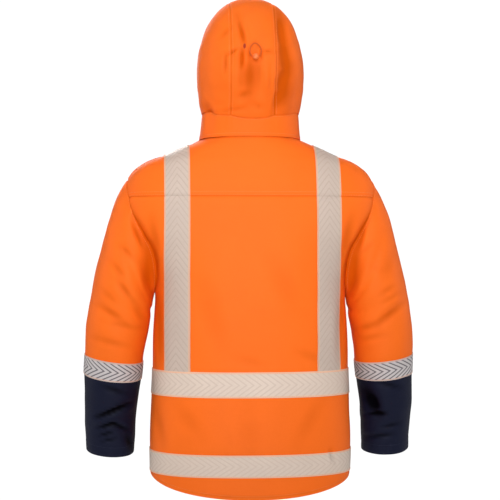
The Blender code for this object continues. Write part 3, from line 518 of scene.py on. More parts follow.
@dataclass
class HoodForm:
    """The hood's smooth form: an egg about the ear line, cut at the face and the neck."""

    power: float = 2.2
    half: float = 0.1080
    ear_y: float = 0.0
    ear_z: float = 0.128
    panel_half: float = 0.044
    outline: tuple[SideView, ...] = (
        SideView("face edge", -0.104, 0.252), SideView("brow", -0.075, 0.273),
        SideView("crown front", -0.035, 0.286), SideView("crown", 0.000, 0.2885),
        SideView("crown back", 0.040, 0.279), SideView("upper back", 0.078, 0.253),
        SideView("back high", 0.102, 0.215), SideView("back", 0.113, 0.172),
        SideView("back low", 0.112, 0.130), SideView("nape high", 0.103, 0.090),
        SideView("nape", 0.092, 0.060), SideView("neck seam", 0.0845, 0.040),
        SideView("under the nape", 0.055, -0.005), SideView("under", 0.000, -0.033),
        SideView("under the chin", -0.050, -0.012), SideView("chin", -0.095, 0.035),
        SideView("mouth", -0.150, 0.075), SideView("nose", -0.175, 0.128),
        SideView("forehead", -0.160, 0.200),
    )
    face_edge: tuple[SideView, ...] = (
        SideView("temple", -0.106, 0.215), SideView("eye", -0.107, 0.165), SideView("cheek", -0.099, 0.110),
        SideView("jaw", -0.086, 0.072), SideView("corner", -0.073, 0.047),
    )
    neck_side: SideView = SideView("under the ear", 0.030, 0.055)
    side_spacing: float = 1.25
    back_search: float = 0.2

    def __post_init__(self) -> None:
        """Sets up the outline's curve and the face edge."""
        pairs = sorted((self.turn(row.y, row.z), math.hypot(row.y - self.ear_y, row.z - self.ear_z))
                       for row in self.outline)
        before = [(angle - 2 * math.pi, reach) for angle, reach in pairs]
        after = [(angle + 2 * math.pi, reach) for angle, reach in pairs]
        self.reach = Curve(before + pairs + after)
        self.panel_reach = (1 - (self.panel_half / self.half) ** self.power) ** (1 / self.power)
        turns = {row.place: self.turn(row.y, row.z) for row in self.outline}
        self.face_turn, self.neck_turn = turns["face edge"], turns["neck seam"]
        face = [tuple(self.seam_place(0))] + [(row.y, row.z) for row in self.face_edge]
        self.face_y = Curve((k, y) for k, (y, _) in enumerate(face))
        self.face_z = Curve((k, z) for k, (_, z) in enumerate(face))

    def turn(self, y: float, z: float) -> float:
        """Direction of a side-view place from the ear line."""
        return math.atan2(z - self.ear_z, y - self.ear_y)

    def point_over(self, y: float, z: float) -> Vector:
        """Point of the hood's left half over a side-view place."""
        reach = math.hypot(y - self.ear_y, z - self.ear_z) / self.reach(self.turn(y, z))
        return Vector((self.half * max(0.0, 1 - reach ** self.power) ** (1 / self.power), y, z))

    def seam_place(self, along: float) -> Vector:
        """Side-view place of the seam beside the centre panel, face (0) to neck (1)."""
        turn = lerp(self.face_turn, self.neck_turn, along)
        reach = self.reach(turn) * self.panel_reach
        return Vector((self.ear_y + reach * math.cos(turn), self.ear_z + reach * math.sin(turn)))

    def centre_point(self, x: float, along: float) -> Vector:
        """Point of the centre panel at x, from the face (0) to the neck (1)."""
        turn = lerp(self.face_turn, self.neck_turn, along)
        reach = self.reach(turn) * (1 - (abs(x) / self.half) ** self.power) ** (1 / self.power)
        return Vector((x, self.ear_y + reach * math.cos(turn), self.ear_z + reach * math.sin(turn)))

    def side_point(self, along: float, down: float) -> Vector:
        """Point of the left side panel, along from face to nape and down from seam to neck."""
        down = down ** self.side_spacing
        corner = Vector((self.face_edge[-1].y, self.face_edge[-1].z))
        neck_side = Vector((self.neck_side.y, self.neck_side.z))
        count = len(self.face_edge)
        face = Vector((self.face_y(down * count), self.face_z(down * count)))
        start = Vector((self.face_y(0), self.face_z(0)))
        bottom = corner.lerp(neck_side, along)
        nape = self.seam_place(1).lerp(neck_side, down)
        ruled = self.seam_place(along).lerp(bottom, down) + face.lerp(nape, along)
        corners = start.lerp(self.seam_place(1), along).lerp(bottom, down)
        return self.point_over(*(ruled - corners))

    def back_point(self, x: float, z: float) -> Vector:
        """Point of the hood's back over a place in the back view."""
        def inside(y: float) -> bool:
            """Whether a place over (x, z) lies within the egg."""
            reach = math.hypot(y - self.ear_y, z - self.ear_z) / self.reach(self.turn(y, z))
            return (abs(x) / self.half) ** self.power + reach ** self.power < 1
        return Vector((x, last_where(inside, self.ear_y, self.ear_y + self.back_search), z))


# --- creases
@dataclass(frozen=True)
class Crease:
    """A soft trough along a line in the back or front view; a negative depth is a ridge."""

    x_start: float
    z_start: float
    x_end: float
    z_end: float
    depth: float
    width: float


def crease_depth(x: Grid, z: Grid, creases: Iterable[Crease]) -> Grid:
    """Depth of all the creases at each point, with a low ridge beside each trough.

    Args:
        x: x of each point.
        z: z of each point.
        creases: the creases.

    Returns:
        Depth below the smooth form, in metres.
    """
    total = np.zeros_like(x)
    for crease in creases:
        dx, dz = crease.x_end - crease.x_start, crease.z_end - crease.z_start
        length = math.hypot(dx, dz)
        along = ((x - crease.x_start) * dx + (z - crease.z_start) * dz) / length
        off = ((x - crease.x_start) * dz - (z - crease.z_start) * dx) / length
        past = np.maximum(0.0, np.maximum(-along, along - length))
        share = np.clip(along / length, 0, 1)
        tail = np.exp(-(past / (CREASE_TAIL * crease.width)) ** 2)
        strength = crease.depth * (CREASE_ENDS + CREASE_SWELL * np.sin(np.pi * share)) * tail
        trough = np.exp(-(off / crease.width) ** 2)
        beside = np.abs(off) - RIDGE_PLACE * crease.width
        ridge = RIDGE_SHARE * np.exp(-(beside / crease.width) ** 2)
        total += strength * (trough - ridge)
    return total


def facing(normals: Grid, side: Side, margin: float = 0.05, span: float = 0.45) -> Grid:
    """Share, 0 to 1, by which each point faces a side, from a margin before its edge over a span."""
    return np.clip((normals[..., 1] * side.value + margin) / span, 0, 1)


@dataclass(frozen=True)
class Swell:
    """Slow rise and fall of worn cloth: its length, half its height and its place in the noise."""

    scale: float
    height: float
    seed: float

    def over(self, points: Grid) -> Grid:
        """Height of each grid point above the smooth form."""
        shift = Vector((self.seed, 0, 0))
        values = [noise.noise(Vector(point) / self.scale + shift) for point in points.reshape(-1, 3)]
        return self.height * np.array(values).reshape(points.shape[:-1])


def arc_lengths(points: Grid, axis: int) -> Grid:
    """Length along the grid's lines from their start, for each point."""
    steps = np.linalg.norm(np.diff(points, axis=axis), axis=-1)
    lengths = np.cumsum(steps, axis=axis)
    start = np.zeros_like(np.take(lengths, [0], axis=axis))
    return np.concatenate([start, lengths], axis=axis)


def shade(depth: Grid, full: float = 0.0045) -> Grid:
    """Share of shade in a valley of a depth, 1 at the full depth."""
    return np.clip(depth / full, 0.0, 1.0)


def turned(normals: Grid, ways: Grid, distance: Grid, reach: float = 0.006) -> Grid:
    """Normals that turn to a shared direction close to a seam.

    Args:
        normals: normals of the grid.
        ways: shared direction for each point.
        distance: distance of each point from the seam.
        reach: distance over which they turn.

    Returns:
        Unit directions.
    """
    blend = np.exp(-(distance / reach) ** 2)[..., None]
    mixed = normals * (1 - blend) + ways * blend
    return mixed / np.linalg.norm(mixed, axis=-1, keepdims=True)


def groove(distance: Grid, depth: float, width: float) -> Grid:
    """A valley, or a dark line, of a depth and width that fades on both sides."""
    return depth * np.exp(-(distance / width) ** 2)


@dataclass(frozen=True)
class Seam:
    """A sewn seam: the valley that it draws in and the painted shade line along it."""

    depth: float
    width: float
    line: float
    line_width: float

    def valley(self, distance: Grid) -> Grid:
        """Depth of the valley at a distance from the seam."""
        return groove(distance, self.depth, self.width)

    def shadow(self, distance: Grid) -> Grid:
        """Share of shade from the line at a distance from the seam."""
        return groove(distance, self.line, self.line_width)


ARMHOLE_SEAM = Seam(0.0013, 0.0030, 0.85, 0.0024)
EDGE_LOSS = 0.7  # power of the fade of creases towards an edge




def grid_normals(points: Grid, wrap: bool = False) -> Grid:
    """Unit normals of a point grid, turned away from its middle.

    Args:
        points: rows x columns x 3.
        wrap: whether the last column repeats the first.

    Returns:
        Normals in the same layout.
    """
    if wrap:
        padded = np.concatenate([points[:, -2:-1], points, points[:, 1:2]], axis=1)
        across = padded[:, 2:] - padded[:, :-2]
    else:
        across = np.gradient(points, axis=1)
    along = np.gradient(points, axis=0)
    normals = np.cross(across, along)
    length = np.linalg.norm(normals, axis=-1, keepdims=True)
    normals = normals / np.maximum(length, 1e-12)
    middle = points.reshape(-1, 3).mean(axis=0)
    way = ((points - middle) * normals).sum()
    return normals if way > 0 else -normals


def mirrored(points: Grid, hand: Hand) -> Grid:
    """The same points on the wearer's left, or mirrored to the right."""
    return points * np.array([hand.value, 1.0, 1.0])


# --- node groups
CHEVRON_BLUR = 0.035  # share of the pitch over which a chevron line fades
MARGIN_BLUR = 0.0003  # distance over which the film's edge fades



@dataclass
class NodeSketch:
    """Short calls for building a node tree."""

    tree: Tree

    def put(self, value: object, socket: Socket) -> None:
        """Links a socket, or sets a number, on an input."""
        if isinstance(value, Socket):
            self.tree.links.new(value, socket)
        else:
            socket.default_value = value

    def give(self, **values: Socket) -> Tree:
        """Feeds a group's named outputs, and returns its finished tree."""
        for title, value in values.items():
            self.put(value, self.tree.nodes["Out"].inputs[title])
        return self.tree

    def math(self, operation: str, *values: object) -> Socket:
        """A Math node with its values, and its output."""
        node = self.tree.nodes.new("ShaderNodeMath")
        node.operation = operation
        for value, socket in zip(values, node.inputs):
            self.put(value, socket)
        return node.outputs[0]

    def linear(self, value: object, factor: object, more: object) -> Socket:
        """A value times a factor, plus more."""
        return self.math("MULTIPLY_ADD", value, factor, more)

    def smooth_step(self, value: object, blur: float) -> Socket:
        """0 below -blur, 1 above blur and smooth between."""
        node = self.tree.nodes.new("ShaderNodeMapRange")
        node.interpolation_type = "SMOOTHSTEP"
        self.put(value, node.inputs["Value"])
        node.inputs["From Min"].default_value = -blur
        node.inputs["From Max"].default_value = blur
        return node.outputs["Result"]

    def mix_colour(self, factor: object, first: object, second: object) -> Socket:
        """Colour between two by a factor."""
        node = self.tree.nodes.new("ShaderNodeMix")
        node.data_type = "RGBA"
        self.put(factor, node.inputs["Factor"])
        self.put(first, [s for s in node.inputs if s.name == "A" and s.type == "RGBA"][0])
        self.put(second, [s for s in node.inputs if s.name == "B" and s.type == "RGBA"][0])
        return [s for s in node.outputs if s.type == "RGBA"][0]

    def noise(self, vector: object, scale: float, detail: float) -> Socket:
        """Noise value, 0 to 1."""
        node = self.tree.nodes.new("ShaderNodeTexNoise")
        self.put(vector, node.inputs["Vector"])
        node.inputs["Scale"].default_value = scale
        node.inputs["Detail"].default_value = detail
        return node.outputs["Fac"]

    def split(self, vector: object) -> tuple[Socket, ...]:
        """x, y and z of a vector."""
        node = self.tree.nodes.new("ShaderNodeSeparateXYZ")
        self.put(vector, node.inputs[0])
        return tuple(node.outputs)


def new_group(name: str, place: str, inputs: Sequence[str], outputs: Sequence[str]) -> NodeSketch:
    """Makes an empty shader node group with named sockets.

    Args:
        name: the group's name.
        place: its vector input.
        inputs: its number inputs.
        outputs: its number outputs.

    Returns:
        A sketch of the group, with its input and output nodes in place.
    """
    tree = bpy.data.node_groups.new(name, "ShaderNodeTree")
    tree.interface.new_socket(name=place, in_out="INPUT", socket_type="NodeSocketVector")
    for way, titles in (("INPUT", inputs), ("OUTPUT", outputs)):
        for title in titles:
            tree.interface.new_socket(name=title, in_out=way, socket_type="NodeSocketFloat")
    tree.nodes.new("NodeGroupInput").name = "In"
    tree.nodes.new("NodeGroupOutput").name = "Out"
    return NodeSketch(tree)


def build_weave_group() -> Tree:
    """Plain weave of fine threads, from the piece's own UV map in metres."""
    sketch = new_group("Softshell weave", "UV", ["Threads per metre"], ["Height", "Gaps"])
    source = sketch.tree.nodes["In"].outputs
    u, v, _ = sketch.split(source["UV"])
    turns = sketch.math("MULTIPLY", source["Threads per metre"], math.pi)
    across = sketch.math("SINE", sketch.math("MULTIPLY", u, turns))
    down = sketch.math("SINE", sketch.math("MULTIPLY", v, turns))
    weave = sketch.math("MULTIPLY", across, down)
    height = sketch.linear(weave, 0.5, 0.5)
    # Gaps: 1 in the hollows between the threads, where the cloth finish paints shade
    crown = sketch.math("MAXIMUM", sketch.math("ABSOLUTE", across), sketch.math("ABSOLUTE", down))
    return sketch.give(Height=height, Gaps=sketch.math("SUBTRACT", 1.0, crown))


def build_tone_group() -> Tree:
    """Slow and fine unevenness of colour in cloth."""
    sketch = new_group("Cloth tone", "Place", [], ["Broad", "Fine"])
    place = sketch.tree.nodes["In"].outputs["Place"]
    return sketch.give(Broad=sketch.noise(place, 7.0, 3.0), Fine=sketch.noise(place, 260.0, 4.0))


def build_chevron_group() -> Tree:
    """Chevron film of reflective tape: u runs along the tape and v across it, in metres."""
    sketch = new_group("Chevron film", "UV", ["Pitch", "Slope", "Half width", "Line share"],
                       ["Gap", "Margin"])
    source = sketch.tree.nodes["In"].outputs
    u, v, _ = sketch.split(source["UV"])
    across = sketch.math("ABSOLUTE", v)
    run = sketch.linear(across, source["Slope"], u)
    part = sketch.math("FRACT", sketch.math("DIVIDE", run, source["Pitch"]))
    off = sketch.math("ABSOLUTE", sketch.math("SUBTRACT", part, 0.5))
    inside = sketch.math("SUBTRACT", source["Line share"], off)
    outside = sketch.math("SUBTRACT", across, source["Half width"])
    return sketch.give(Gap=sketch.smooth_step(inside, CHEVRON_BLUR),
                       Margin=sketch.smooth_step(outside, MARGIN_BLUR))


@dataclass
class Groups:
    """The shader node groups that the finishes share."""

    weave: Tree = field(default_factory=build_weave_group)
    tone: Tree = field(default_factory=build_tone_group)
    chevron: Tree = field(default_factory=build_chevron_group)


def group_node(sketch: NodeSketch, tree: Tree, **values: object) -> Node:
    """Places a node group and feeds its inputs.

    Args:
        sketch: the material's node sketch.
        tree: the group.
        **values: input values by name, with _ for a space.

    Returns:
        The group's node.
    """
    node = sketch.tree.nodes.new("ShaderNodeGroup")
    node.node_tree = tree
    for title, value in values.items():
        sketch.put(value, node.inputs[title.replace("_", " ")])
    return node


def new_material(name: str) -> tuple[Material, NodeSketch, Node]:
    """A material, a sketch of its tree and its Principled BSDF."""
    material = bpy.data.materials.new(name)
    material.use_nodes = True
    return material, NodeSketch(material.node_tree), material.node_tree.nodes["Principled BSDF"]


def coordinates(sketch: NodeSketch, output: str) -> Socket:
    """The UV or Object output of a Texture Coordinate node."""
    return sketch.tree.nodes.new("ShaderNodeTexCoord").outputs[output]


@dataclass(frozen=True)
class Relief:
    """Fine relief of a finish: its full height in metres and how strongly it shows."""

    distance: float
    strength: float

    def add(self, sketch: NodeSketch, shader: Node, height: object) -> None:
        """Feeds a height to the shader's normal."""
        bump = sketch.tree.nodes.new("ShaderNodeBump")
        bump.inputs["Distance"].default_value = self.distance
        bump.inputs["Strength"].default_value = self.strength
        sketch.put(height, bump.inputs["Height"])
        sketch.put(bump.outputs["Normal"], shader.inputs["Normal"])


def rgba(colour: Colour, share: float = 1.0) -> tuple[float, float, float, float]:
    """A colour made lighter or darker, with full alpha."""
    return tuple(min(1.0, part * share) for part in colour) + (1.0,)


def valley_of(sketch: NodeSketch) -> Socket:
    """The piece's own valley attribute, 0 to 1: the painted shade on each point."""
    node = sketch.tree.nodes.new("ShaderNodeAttribute")
    node.attribute_name = "valley"
    return node.outputs["Fac"]


@dataclass(frozen=True)
class ClothFinish:
    """Matt woven softshell, with painted shade in its valleys that draws its colour to a deeper one."""

    name: str
    colour: Colour
    # deep: the darker colour that the random tone drifts to, also the colour of the painted shade in valleys
    deep: Colour
    roughness: float
    gloss: float
    threads: float = 1500.0  # per metre
    broad_tone: float = 0.36  # shares by which the colour drifts to its deep one
    fine_tone: float = 0.10
    # painted shade between the threads: share by which the weave's gaps draw the colour to the deep one
    gap_tone: float = 0.20
    lightest: float = -0.12
    grain: float = 0.12  # swing of the roughness
    valley_gloss_loss: float = 0.8
    fuzz: float = 0.5  # height of the fine unevenness beside the weave's
    relief: Relief = Relief(0.00012, 0.55)

    def build(self, groups: Groups) -> Material:
        """Makes the material from the shared groups."""
        material, sketch, shader = new_material(self.name)
        weave = group_node(sketch, groups.weave, UV=coordinates(sketch, "UV"), Threads_per_metre=self.threads)
        tone = group_node(sketch, groups.tone, Place=coordinates(sketch, "Object"))
        uneven = sketch.linear(tone.outputs["Broad"], self.broad_tone, self.lightest)
        fine = sketch.linear(tone.outputs["Fine"], self.fine_tone, uneven)
        # random tone plus the painted shade in the weave's gaps
        tone_and_thread_shade = sketch.linear(weave.outputs["Gaps"], self.gap_tone, fine)
        # painted shade: the valley attribute draws the colour to the deep one, on top of the random tone
        factor = sketch.math("ADD", valley_of(sketch), tone_and_thread_shade)
        limited = sketch.math("MINIMUM", sketch.math("MAXIMUM", factor, 0.0), 1.0)
        colour = sketch.mix_colour(limited, rgba(self.colour), rgba(self.deep))
        sketch.put(colour, shader.inputs["Base Color"])
        smoothest = self.roughness - self.grain / 2
        rough = sketch.linear(tone.outputs["Fine"], self.grain, smoothest)
        sketch.put(rough, shader.inputs["Roughness"])
        # the specular level drops under the painted shade as well
        loss = -self.valley_gloss_loss * self.gloss
        gloss = sketch.linear(valley_of(sketch), loss, self.gloss)
        sketch.put(gloss, shader.inputs["Specular IOR Level"])
        height = sketch.linear(tone.outputs["Fine"], self.fuzz, weave.outputs["Height"])
        self.relief.add(sketch, shader, height)
        return material


@dataclass(frozen=True)
class TapeFinish:
    """Reflective chevron film on a sewn tape."""

    name: str
    film: Colour
    gap: Colour
    margin: Colour
    roughness: float = 0.42
    line_share: float = 0.13  # half a chevron line's share of the pitch
    pitch: float = 0.0142
    slope: float = 1.4
    film_half: float = 0.0215  # half the film's width
    threads: float = 2600.0  # per metre
    mottle: float = 0.5
    light_share: float = 1.10
    dark_share: float = 0.86
    # painted shade in valleys: its share, and how dark its colour is made from the chevron line colour
    wear: float = 0.45  # share of shade in a valley
    worn_share: float = 0.6
    matt_extra: float = 0.35  # roughness that the lines and margins add
    grain: float = 0.1
    gloss: float = 0.35
    weave_height: float = 0.2
    film_height: float = 0.8  # height of the film over its lines and margins
    relief: Relief = Relief(0.0002, 0.6)

    def build(self, groups: Groups) -> Material:
        """Makes the material from the shared groups."""
        material, sketch, shader = new_material(self.name)
        uv = coordinates(sketch, "UV")
        chevron = group_node(sketch, groups.chevron, UV=uv, Pitch=self.pitch, Slope=self.slope,
                             Half_width=self.film_half, Line_share=self.line_share)
        tone = group_node(sketch, groups.tone, Place=coordinates(sketch, "Object"))
        weave = group_node(sketch, groups.weave, UV=uv, Threads_per_metre=self.threads)
        fine, matt = tone.outputs["Fine"], sketch.math("MAXIMUM", chevron.outputs["Gap"],
                                                       chevron.outputs["Margin"])
        mottle = sketch.linear(fine, self.mottle, tone.outputs["Broad"])
        film = sketch.mix_colour(mottle, rgba(self.film, self.light_share), rgba(self.film, self.dark_share))
        lined = sketch.mix_colour(chevron.outputs["Gap"], film, rgba(self.gap))
        edged = sketch.mix_colour(chevron.outputs["Margin"], lined, rgba(self.margin))
        # painted shade: valleys draw the film's colour to a darker copy of the line colour
        painted_shade = sketch.math("MULTIPLY", valley_of(sketch), self.wear)
        colour = sketch.mix_colour(painted_shade, edged, rgba(self.gap, self.worn_share))
        sketch.put(colour, shader.inputs["Base Color"])
        rough = sketch.linear(matt, self.matt_extra, self.roughness)
        sketch.put(sketch.linear(fine, self.grain, rough), shader.inputs["Roughness"])
        shader.inputs["Specular IOR Level"].default_value = self.gloss
        sunk = sketch.math("MULTIPLY", matt, -self.film_height)
        height = sketch.linear(weave.outputs["Height"], self.weave_height, sunk)
        self.relief.add(sketch, shader, height)
        return material


@dataclass(frozen=True)
class HardFinish:
    """Moulded plastic or metal with a fine uneven surface."""

    name: str
    colour: Colour
    roughness: float
    metallic: float = 0.0
    dark_share: float = 0.8
    grain: float = 0.2  # swing of the roughness
    relief: Relief = Relief(0.0001, 0.3)

    def build(self, groups: Groups) -> Material:
        """Makes the material from the shared groups."""
        material, sketch, shader = new_material(self.name)
        tone = group_node(sketch, groups.tone, Place=coordinates(sketch, "Object"))
        dark = rgba(self.colour, self.dark_share)
        sketch.put(sketch.mix_colour(tone.outputs["Broad"], rgba(self.colour), dark),
                   shader.inputs["Base Color"])
        smoothest = self.roughness - self.grain / 2
        rough = sketch.linear(tone.outputs["Fine"], self.grain, smoothest)
        sketch.put(rough, shader.inputs["Roughness"])
        shader.inputs["Metallic"].default_value = self.metallic
        self.relief.add(sketch, shader, tone.outputs["Fine"])
        return material


@dataclass(frozen=True)
class Look:
    """A finished material and the slot of the frame that it dresses."""

    material: Material
    slot: Slot


@dataclass
class Wardrobe:
    """Every look of the jacket."""

    groups: Groups = field(default_factory=Groups)

    def __post_init__(self) -> None:
        """Builds the materials once."""
        finishes = {
            Slot.ORANGE: {
                "orange": ClothFinish("fluorescent orange softshell", (0.94, 0.153, 0.0075),
                                      (0.62, 0.084, 0.0010), 0.66, 0.20),
                "thread": HardFinish("orange thread", (0.90, 0.27, 0.08), 0.75),
                "cord": HardFinish("orange elastic cord", (0.70, 0.095, 0.003), 0.85),
                "toggle": HardFinish("orange toggle", (0.97, 0.20, 0.028), 0.55),
                # colour of the painted shade inside the eyelet
                "hole": HardFinish("shaded eyelet hole", (0.36, 0.018, 0.001), 0.9),
            },
            Slot.NAVY: {
                "navy": ClothFinish("navy softshell", (0.0052, 0.0072, 0.0250), (0.0006, 0.0006, 0.0022),
                                    0.60, 0.15),
                "dark_thread": HardFinish("navy thread", (0.014, 0.016, 0.045), 0.75),
                "teeth": HardFinish("navy zip teeth", (0.012, 0.013, 0.030), 0.40),
                "metal": HardFinish("dark zip metal", (0.32, 0.32, 0.34), 0.32, 0.95),
            },
            Slot.TAPE: {
                # hoop and brace tape are one tape: the hoop copy is painted lighter and the brace copy
                # darker, painted light standing in for the light the film throws back
                "hoop_tape": TapeFinish("warm silver hoop tape", (0.70, 0.57, 0.48), (0.60, 0.475, 0.395),
                                        (0.76, 0.49, 0.34), line_share=0.15),
                "brace_tape": TapeFinish("warm silver brace tape", (0.56, 0.45, 0.382), (0.475, 0.372, 0.312),
                                         (0.63, 0.42, 0.30), line_share=0.12),
                "sleeve_tape": TapeFinish("cool silver tape", (0.60, 0.555, 0.55), (0.135, 0.12, 0.13),
                                          (0.56, 0.45, 0.40), 0.34, 0.17),
            },
        }
        self.looks = {key: Look(finish.build(self.groups), slot)
                      for slot, group in finishes.items() for key, finish in group.items()}

    def __getitem__(self, key: str) -> Look:
        """The look of a short name."""
        return self.looks[key]


# --- pieces
def add_object(name: str, bm: BMesh, look: Look) -> Object:
    """Turns a bmesh into a smooth piece that rides on the jacket.

    Args:
        name: the piece's name.
        bm: its shape, which is freed.
        look: its finish.

    Returns:
        The new object.
    """
    mesh = bpy.data.meshes.new(name)
    bm.to_mesh(mesh)
    bm.free()
    if not any(edge.use_edge_sharp for edge in mesh.edges):
        mesh.shade_smooth()
        mesh.set_sharp_from_angle(angle=math.radians(SHARP_ANGLE))
    mesh.materials.append(look.material)
    piece = bpy.data.objects.new(name, mesh)
    bpy.context.scene.collection.objects.link(piece)
    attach(piece, BODY)
    return piece


def copies(bm: BMesh, places: Iterable[Matrix]) -> BMesh:
    """A shape repeated at many places.

    Args:
        bm: the shape, which is freed.
        places: a matrix for each copy.

    Returns:
        A bmesh with every copy.
    """
    one = bpy.data.meshes.new("one")
    bm.to_mesh(one)
    bm.free()
    result = bmesh.new()
    for matrix in places:
        one.transform(matrix)
        result.from_mesh(one)
        one.transform(matrix.inverted())
    bpy.data.meshes.remove(one)
    return result


def at_reach(at: float, reach: Grid, values: Grid) -> Grid:
    """Point or direction at a length along a line."""
    return np.array([np.interp(at, reach, values[:, axis]) for axis in range(3)])


@dataclass
class Surface:
    """A finished grid of points on a form, with the shade that gathers in its valleys."""

    points: Grid
    normals: Grid
    valley: Grid | None = None

    def __post_init__(self) -> None:
        """Starts with no valleys where none are given."""
        if self.valley is None:
            self.valley = np.zeros(self.points.shape[:2])

    def part(self, rows: slice, columns: slice = slice(None)) -> Surface:
        """A range of rows and columns."""
        return Surface(self.points[rows, columns], self.normals[rows, columns], self.valley[rows, columns])

    def line_beside(self, axis: int, edge: int, inset: float, lift: float = 0.0) -> Line:
        """Line at a distance inside one edge.

        Args:
            axis: 0 for the top or bottom edge, 1 for the start or end edge.
            edge: 0 for the first, -1 for the last.
            inset: distance from the edge, in metres.
            lift: height above the surface.

        Returns:
            Points and normals along the line.
        """
        points, normals = self.points, self.normals
        if axis == 1:
            points, normals = points.swapaxes(0, 1), normals.swapaxes(0, 1)
        if edge == -1:
            points, normals = points[::-1], normals[::-1]
        reach = arc_lengths(points, 0)
        line, ways = [np.array([at_reach(inset, reach[:, k], grid[:, k]) for k in range(grid.shape[1])])
                      for grid in (points, normals)]
        return line + ways * lift, ways


@dataclass
class ClothShell:
    """One sewn piece of cloth, as a surface with thickness."""

    node: str
    surface: Surface
    look: Look
    kind: str = "cloth"
    thickness: float = SHELL_THICK
    lift: float = 0.0
    wrap: bool = False
    reverse_u: bool = False
    across_u: bool = False

    def cut(self) -> tuple[float, float, float]:
        """Width, length and area of the flat cut that shows."""
        p = self.surface.points
        width = float(arc_lengths(p, 1)[:, -1].max())
        length = float(arc_lengths(p, 0)[-1].max())
        first = np.cross(p[1:, :-1] - p[:-1, :-1], p[:-1, 1:] - p[:-1, :-1])
        second = np.cross(p[:-1, 1:] - p[1:, 1:], p[1:, :-1] - p[1:, 1:])
        area = 0.5 * float(np.linalg.norm(first, axis=-1).sum() + np.linalg.norm(second, axis=-1).sum())
        return width, length, area

    def surface_map(self) -> Grid:
        """UV of each point in metres, with v measured from the middle line of the rows."""
        u, v = arc_lengths(self.surface.points, 1), arc_lengths(self.surface.points, 0)
        if self.across_u:
            u, v = v, u
        axis = 1 if self.across_u else 0
        u = np.broadcast_to(u.mean(axis=axis, keepdims=True), u.shape)
        half = v.max(axis=axis, keepdims=True) / 2
        v = v - half
        if self.look.slot is Slot.TAPE:
            v = v * (TAPE_WIDTH / 2) / half
        return np.stack([-u if self.reverse_u else u, v], axis=-1)

    def build(self) -> Object:
        """Makes the shell, its thickness and its UV map, and hides the frame's piece that it replaces."""
        grid = self.surface
        rows, columns = grid.points.shape[:2]
        bm = bmesh.new()
        bmesh.ops.create_grid(bm, x_segments=columns - 1, y_segments=rows - 1, size=1)
        uv_layer = bm.loops.layers.uv.new("UVMap")
        # the valley attribute holds painted shade: how far each point's colour is darkened in creases and
        # along seams
        painted_shade_layer = bm.verts.layers.float.new("valley")
        places, flat = grid.points + grid.normals * self.lift, self.surface_map()
        spots = {}
        for vert in bm.verts:
            j, k = round((vert.co.y + 1) / 2 * (rows - 1)), round((vert.co.x + 1) / 2 * (columns - 1))
            spots[vert] = Vector(grid.normals[j, k])
            vert.co = places[j, k]
            vert[painted_shade_layer] = float(grid.valley[j, k])
            for loop in vert.link_loops:
                loop[uv_layer].uv = flat[j, k]
        bm.normal_update()
        if sum(vert.normal.dot(normal) for vert, normal in spots.items()) < 0:
            bmesh.ops.reverse_faces(bm, faces=bm.faces[:])
        if self.wrap:
            bmesh.ops.remove_doubles(bm, verts=[vert for vert in bm.verts if vert.is_boundary], dist=1e-6)
        for edge in bm.edges:
            edge.smooth = not edge.is_boundary
        for face in bm.faces:
            face.smooth = True
        piece = add_object(f"{self.node}_{self.kind}", bm, self.look)
        wall = piece.modifiers.new("cloth thickness", "SOLIDIFY")
        wall.thickness = self.thickness
        wall.offset = -1.0
        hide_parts(self.node)
        width, length, area = self.cut()
        log.info("%s: cut %.3f x %.3f m, %.4f m2, %d faces", piece.name, width, length, area,
                 len(piece.data.polygons))
        return piece


@dataclass
class StitchRun:
    """A line of raised stitches."""

    pitch: float = 0.0040
    length: float = 0.0030
    radius: float = 0.00032
    stand: float = 0.35  # share of the radius by which its middle stands over the cloth

    def template(self) -> BMesh:
        """One stitch, long in X, middle at the origin."""
        bm = bmesh.new()
        bmesh.ops.create_uvsphere(bm, u_segments=5, v_segments=4, radius=1)
        bmesh.ops.rotate(bm, cent=(0, 0, 0), matrix=Matrix.Rotation(math.pi / 2, 3, "Y"), verts=bm.verts[:])
        bmesh.ops.scale(bm, vec=(self.length / 2, self.radius, self.radius), verts=bm.verts[:])
        return bm

    def places(self, line: Grid, normals: Grid) -> list[Matrix]:
        """Where each stitch of a line goes.

        Args:
            line: points along the line.
            normals: outward normals at those points.

        Returns:
            A matrix for each stitch.
        """

        reach = arc_lengths(line, 0)
        result = []
        for at in np.arange(self.pitch / 2, reach[-1] - self.pitch / 2, self.pitch):
            here, there = [at_reach(at + way * self.length / 2, reach, line) for way in (-1, 1)]
            up = Vector(at_reach(at, reach, normals)).normalized()
            ahead = Vector(there - here).normalized()
            side = up.cross(ahead).normalized()
            up = ahead.cross(side)
            matrix = Matrix((ahead, side, up)).transposed().to_4x4()
            matrix.translation = Vector((here + there) / 2) + up * self.radius * self.stand
            result.append(matrix)
        return result

    def build(self, name: str, lines: Sequence[Line], look: Look) -> Object:
        """Sews one piece of stitching, of a name ending in stitching, from several lines."""
        places = [matrix for line in lines for matrix in self.places(*line)]
        return add_object(f"{name}_stitching", copies(self.template(), places), look)


CLOTH_STITCH = StitchRun()
TAPE_STITCH = StitchRun(0.0036, 0.0027, 0.00028)
FINE_STITCH = StitchRun(0.0034, 0.0026, 0.00028)



